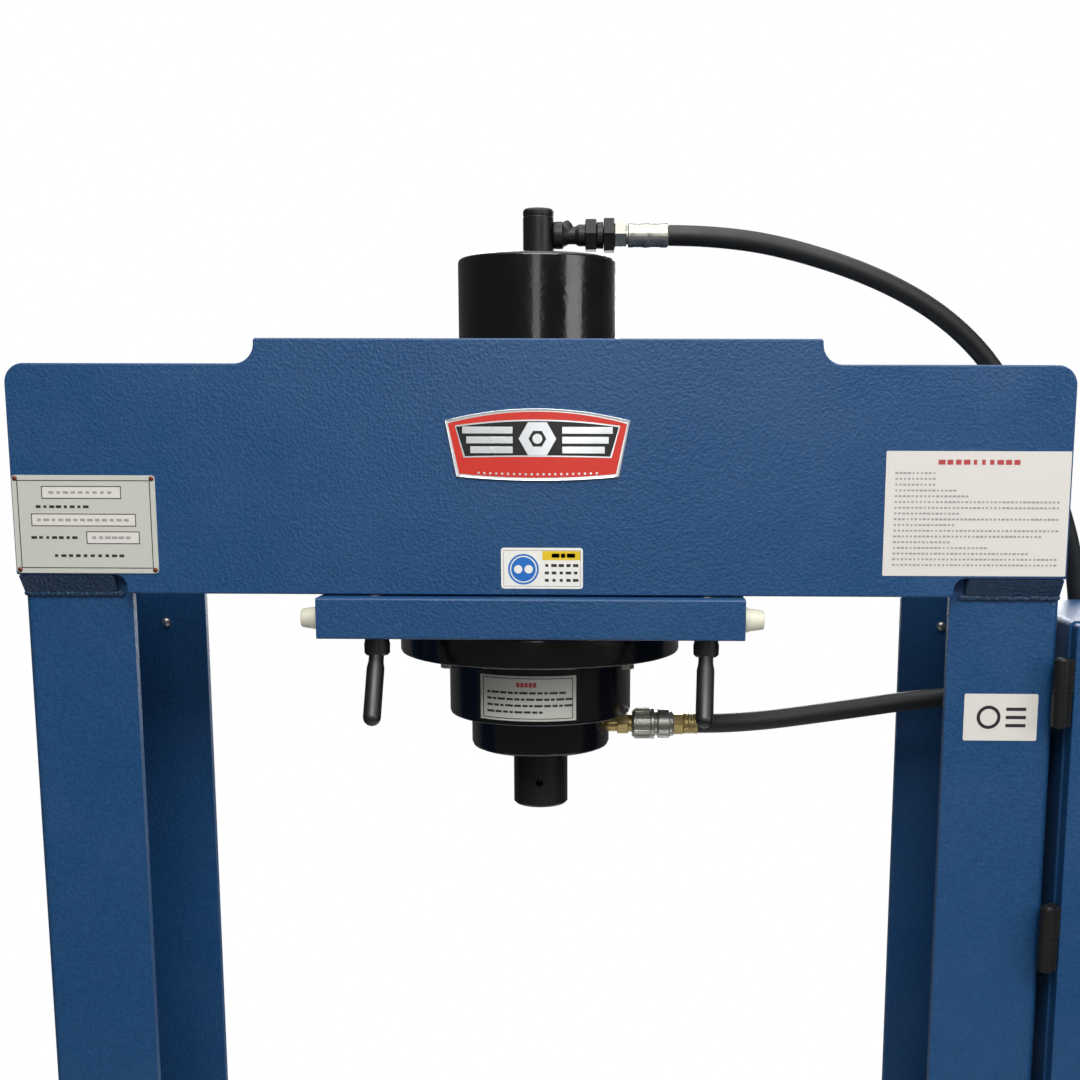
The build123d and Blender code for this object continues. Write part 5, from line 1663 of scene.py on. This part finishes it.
        outline = [hub + ahead * 36 * MM + across * 0.3 * MM, hub + across * 2.2 * MM,
                   hub - ahead * 9 * MM + across * 1.8 * MM, hub - ahead * 9 * MM - across * 1.8 * MM,
                   hub - across * 2.2 * MM, hub + ahead * 36 * MM - across * 0.3 * MM]
        plate(needle, [(p.x, p.z) for p in outline], hub.y, 1.0 * MM)
        turn(needle, mm((0, 15.6), (4.6, 15.6), (4.6, 18.4), (3.6, 19), (0, 19)), place, 32)
        settle(to_object(needle, "gauge_needle_look", RED_CAP), "gauge_needle")
        glass = bmesh.new()
        turn(glass, disc(44.9, 24, 25.6), place, 80)
        pane = to_object(glass, "gauge_glass", WHITE_CAP)
        pane.data.materials[0] = self._glass()
        settle(pane, body="door", slot="white_plastic")

    @staticmethod
    def _glass() -> bpy.types.Material:
        """Clear flat window glass with a faint polish variation."""
        material = bpy.data.materials.new("gauge_window_glass")
        material.use_nodes = True
        tree = material.node_tree
        shader = tree.nodes["Principled BSDF"]
        shader.inputs["Transmission Weight"].default_value = 1.0
        shader.inputs["IOR"].default_value = 1.45
        shader.inputs["Base Color"].default_value = linear("f8fbfa")
        place = add_node(tree, "ShaderNodeTexCoord").outputs["Object"]
        smear = add_node(tree, "ShaderNodeTexNoise", {"Vector": place, "Scale": 30.0, "Detail": 2.0})
        rough = add_node(tree, "ShaderNodeMapRange", {
            "Value": smear.outputs[0], "To Min": 0.0, "To Max": 0.03})
        tree.links.new(rough.outputs[0], shader.inputs["Roughness"])
        return material

    @staticmethod
    def _number(mesh: bmesh.types.BMesh, text: str, at: tuple[float, float]) -> None:
        """Add a dial number.

        Args:
            mesh: the mesh that gets it.
            text: the digits.
            at: x and z of its middle.
        """
        data = bpy.data.curves.new("digits", "FONT")
        data.body, data.size, data.extrude = text, 8 * MM, 0.1 * MM
        data.align_x, data.align_y = "CENTER", "CENTER"
        flat = final_mesh(link("digits", data))
        flat.transform(Matrix.Translation((at[0], HEAD_FRONT - 12.7 * MM,
                                           at[1])) @ Matrix.Rotation(math.pi / 2, 4, "X"))
        mesh.from_mesh(flat)
        bpy.data.meshes.remove(flat)

    def _buttons(self) -> None:
        """Three push buttons with metal collars on the door."""
        collars = bmesh.new()
        caps = (("up_button", -1, 13, GREEN_CAP), ("down_button", 0, 13, WHITE_CAP),
                ("stop_button", 1, 20, RED_CAP))
        for node, step, radius_mm, finish in caps:
            x, radius = self.panel_x + step * self.button_spacing, radius_mm * MM
            place = facing((x, HEAD_FRONT, self.button_height), FORWARD)
            mesh = bmesh.new()
            turn(mesh, [(0, -16 * MM), (10.8 * MM, -16 * MM), (10.8 * MM, 7 * MM),
                        (radius - 1.5 * MM, 7 * MM), (radius, 8.5 * MM), (radius, 12.5 * MM),
                        (radius * 0.92, 14.6 * MM), (radius * 0.6, 15.7 * MM), (0, 15.95 * MM)], place, 56,
                 0.25 * MM)
            settle(to_object(mesh, f"{node}_look", finish), node)
            turn(collars, mm((11.6, 0.05), (15, 0.05), (15, 1.0), (14.2, 1.7), (12, 1.7), (11.6, 1.3)),
                 place, 56)
        settle(to_object(collars, "button_collars", ZINC), body="door", slot="zinc_plated_steel")

    def _pump_set(self) -> None:
        """Oil tank with its cap and sight glass, motor with fins and a fan cover, and the pump."""
        rounded("oil_tank", GREY_PAINT, 2.0)
        rounded("hydraulic_pump", CAST_IRON, 1.2)
        low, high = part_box("pump_motor")
        x = (low.x + high.x) / 2
        y = high.y - (high.x - low.x) / 2
        base, place = low.z, Matrix.Translation((x, y, 0))
        mesh = bmesh.new()
        turn(mesh, [(0, base), (80 * MM, base), (80 * MM, base + 12 * MM), (66 * MM, base + 18 * MM),
                    (64 * MM, base + 22 * MM), (64 * MM, base + 214 * MM), (66 * MM, base + 216 * MM),
                    (70 * MM, base + 217 * MM), (70 * MM, base + 250 * MM), (64 * MM, base + 260 * MM),
                    (50 * MM, base + 262 * MM), (0, base + 262 * MM)], place, 80, 0.6 * MM)
        slab(mesh, (x - 44 * MM, y - 81 * MM, base + 91 * MM), (x + 44 * MM, y - 60 * MM, base + 159 * MM),
             3 * MM)
        slab(mesh, (x - 41 * MM, y - 82 * MM, base + 94 * MM), (x + 41 * MM, y - 80 * MM, base + 156 * MM),
             0.8 * MM)
        settle(to_object(mesh, "pump_motor_look", GREY_PAINT), "pump_motor")
        fin = cube((7 * MM, 2 * MM, 188 * MM), (1.8 * MM, 0, 0))
        fins = ring("motor_fins", hidden(fin, "motor_fin"), 36, 64 * MM,
                    Matrix.Translation((x, y, base + 116 * MM)), GREY_PAINT)
        settle(fins, body="frame", slot="machine_grey_paint")
        trim, glass = bmesh.new(), bmesh.new()
        tank_low, tank_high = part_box("oil_tank")
        cap = Matrix.Translation((tank_low.x + 30 * MM, tank_low.y + 30 * MM, tank_high.z))
        turn(trim, mm((0, 0), (20, 0), (20, 3), (17, 4), (17, 18), (15, 20), (0, 20)), cap, 40, 0.4 * MM)
        at = (tank_low.x + 120 * MM, tank_low.y, (tank_low.z + tank_high.z) / 2)
        sight = facing(at, FORWARD)
        turn(trim, mm((0, 0), (19, 0), (19, 3), (16, 4.5), (13, 4.5), (13, 2), (0, 2)), sight, 40, 0.3 * MM)
        turn(glass, mm((0, 1.9), (12.9, 1.9), (12.9, 3), (0, 3.4)), sight, 40)
        settle(to_object(trim, "tank_cap_and_sight", PHENOLIC), body="frame", slot="black_plastic")
        settle(to_object(glass, "tank_sight_oil", YELLOW_ZINC), body="frame", slot="aluminium_alloy")

    def _plumbing(self) -> None:
        """Valve block with coils and plugs, cabinet fittings and grommets."""
        rounded("valve_block", ALUMINIUM, 0.8)
        low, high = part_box("valve_block")
        coils, plugs = bmesh.new(), bmesh.new()
        for dx in (30, 75):
            at = (low.x + dx * MM, low.y, high.z - 35 * MM)
            place = facing(at, BACKWARD)
            turn(coils, disc(18.6, 2, 44, bore=17.1), place, 40, 0.3 * MM)
            turn(plugs, disc(9, -4, 0.5), place, 6, 0.6 * MM)
        settle(to_object(coils, "valve_coils", PHENOLIC), body="frame", slot="black_plastic")
        settle(to_object(plugs, "valve_nuts", ZINC), body="frame", slot="zinc_plated_steel")
        rounded("cabinet_fittings", ZINC, 0.8)
        rounded("hose_grommets", SEAL, 1.0)


# ---------------------------------------------------------------- table
@dataclass
class Table:
    """The table: channel beams with spacers, pins that carry it, and V-blocks on top."""

    def build(self) -> None:
        """Make the table and its loose pieces."""
        rounded("table_beams", BLUE, 1.4)
        rounded("table_spacers", BLUE, 1.0)
        for side in Side:
            name = side.name.lower()
            rounded(f"{name}_v_block", BLACK_OXIDE, 1.6)
            self._pin(f"{name}_table_pin")

    def _pin(self, node: str) -> None:
        """A turned pin with a collar, a waist and a knob."""
        low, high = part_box(node)
        x, z = (low.x + high.x) / 2, (low.z + high.z) / 2
        length = high.y - low.y
        mesh = bmesh.new()
        turn(mesh, [(0, 0), (12 * MM, 0), (15 * MM, 2 * MM), (16 * MM, 5 * MM), (16 * MM, 10 * MM),
                    (13 * MM, 13.5 * MM), (9.5 * MM, 16 * MM), (8 * MM, 22 * MM), (8.5 * MM, 30 * MM),
                    (12 * MM, 34 * MM), (30 * MM, 34 * MM), (32 * MM, 36 * MM), (32 * MM, 44 * MM),
                    (30 * MM, 46 * MM), (25 * MM, 46 * MM), (25 * MM, length - 4 * MM),
                    (22 * MM, length), (0, length)],
             facing((x, low.y, z), BACKWARD), 64, 0.5 * MM)
        settle(to_object(mesh, f"{node}_look", BLACK_OXIDE), node)


def main() -> None:
    """Build every sub-assembly in order."""
    logging.basicConfig(level=logging.INFO, format="%(message)s")
    Studio().build()
    Hose("upper_hose", UPPER_ROUTE, 0.852, UPPER_END, "hanging").build()
    Hose("lower_hose", LOWER_ROUTE, 0.418, LOWER_END, "taut").build()
    PressFrame().build()
    Carriage().build()
    Ram().build()
    for side in Side:
        ClampLever(side).build()
    PortFittings().build()
    NameBadge().build()
    Labels().build()
    PowerUnit().build()
    Table().build()


if __name__ == "__main__":
    main()
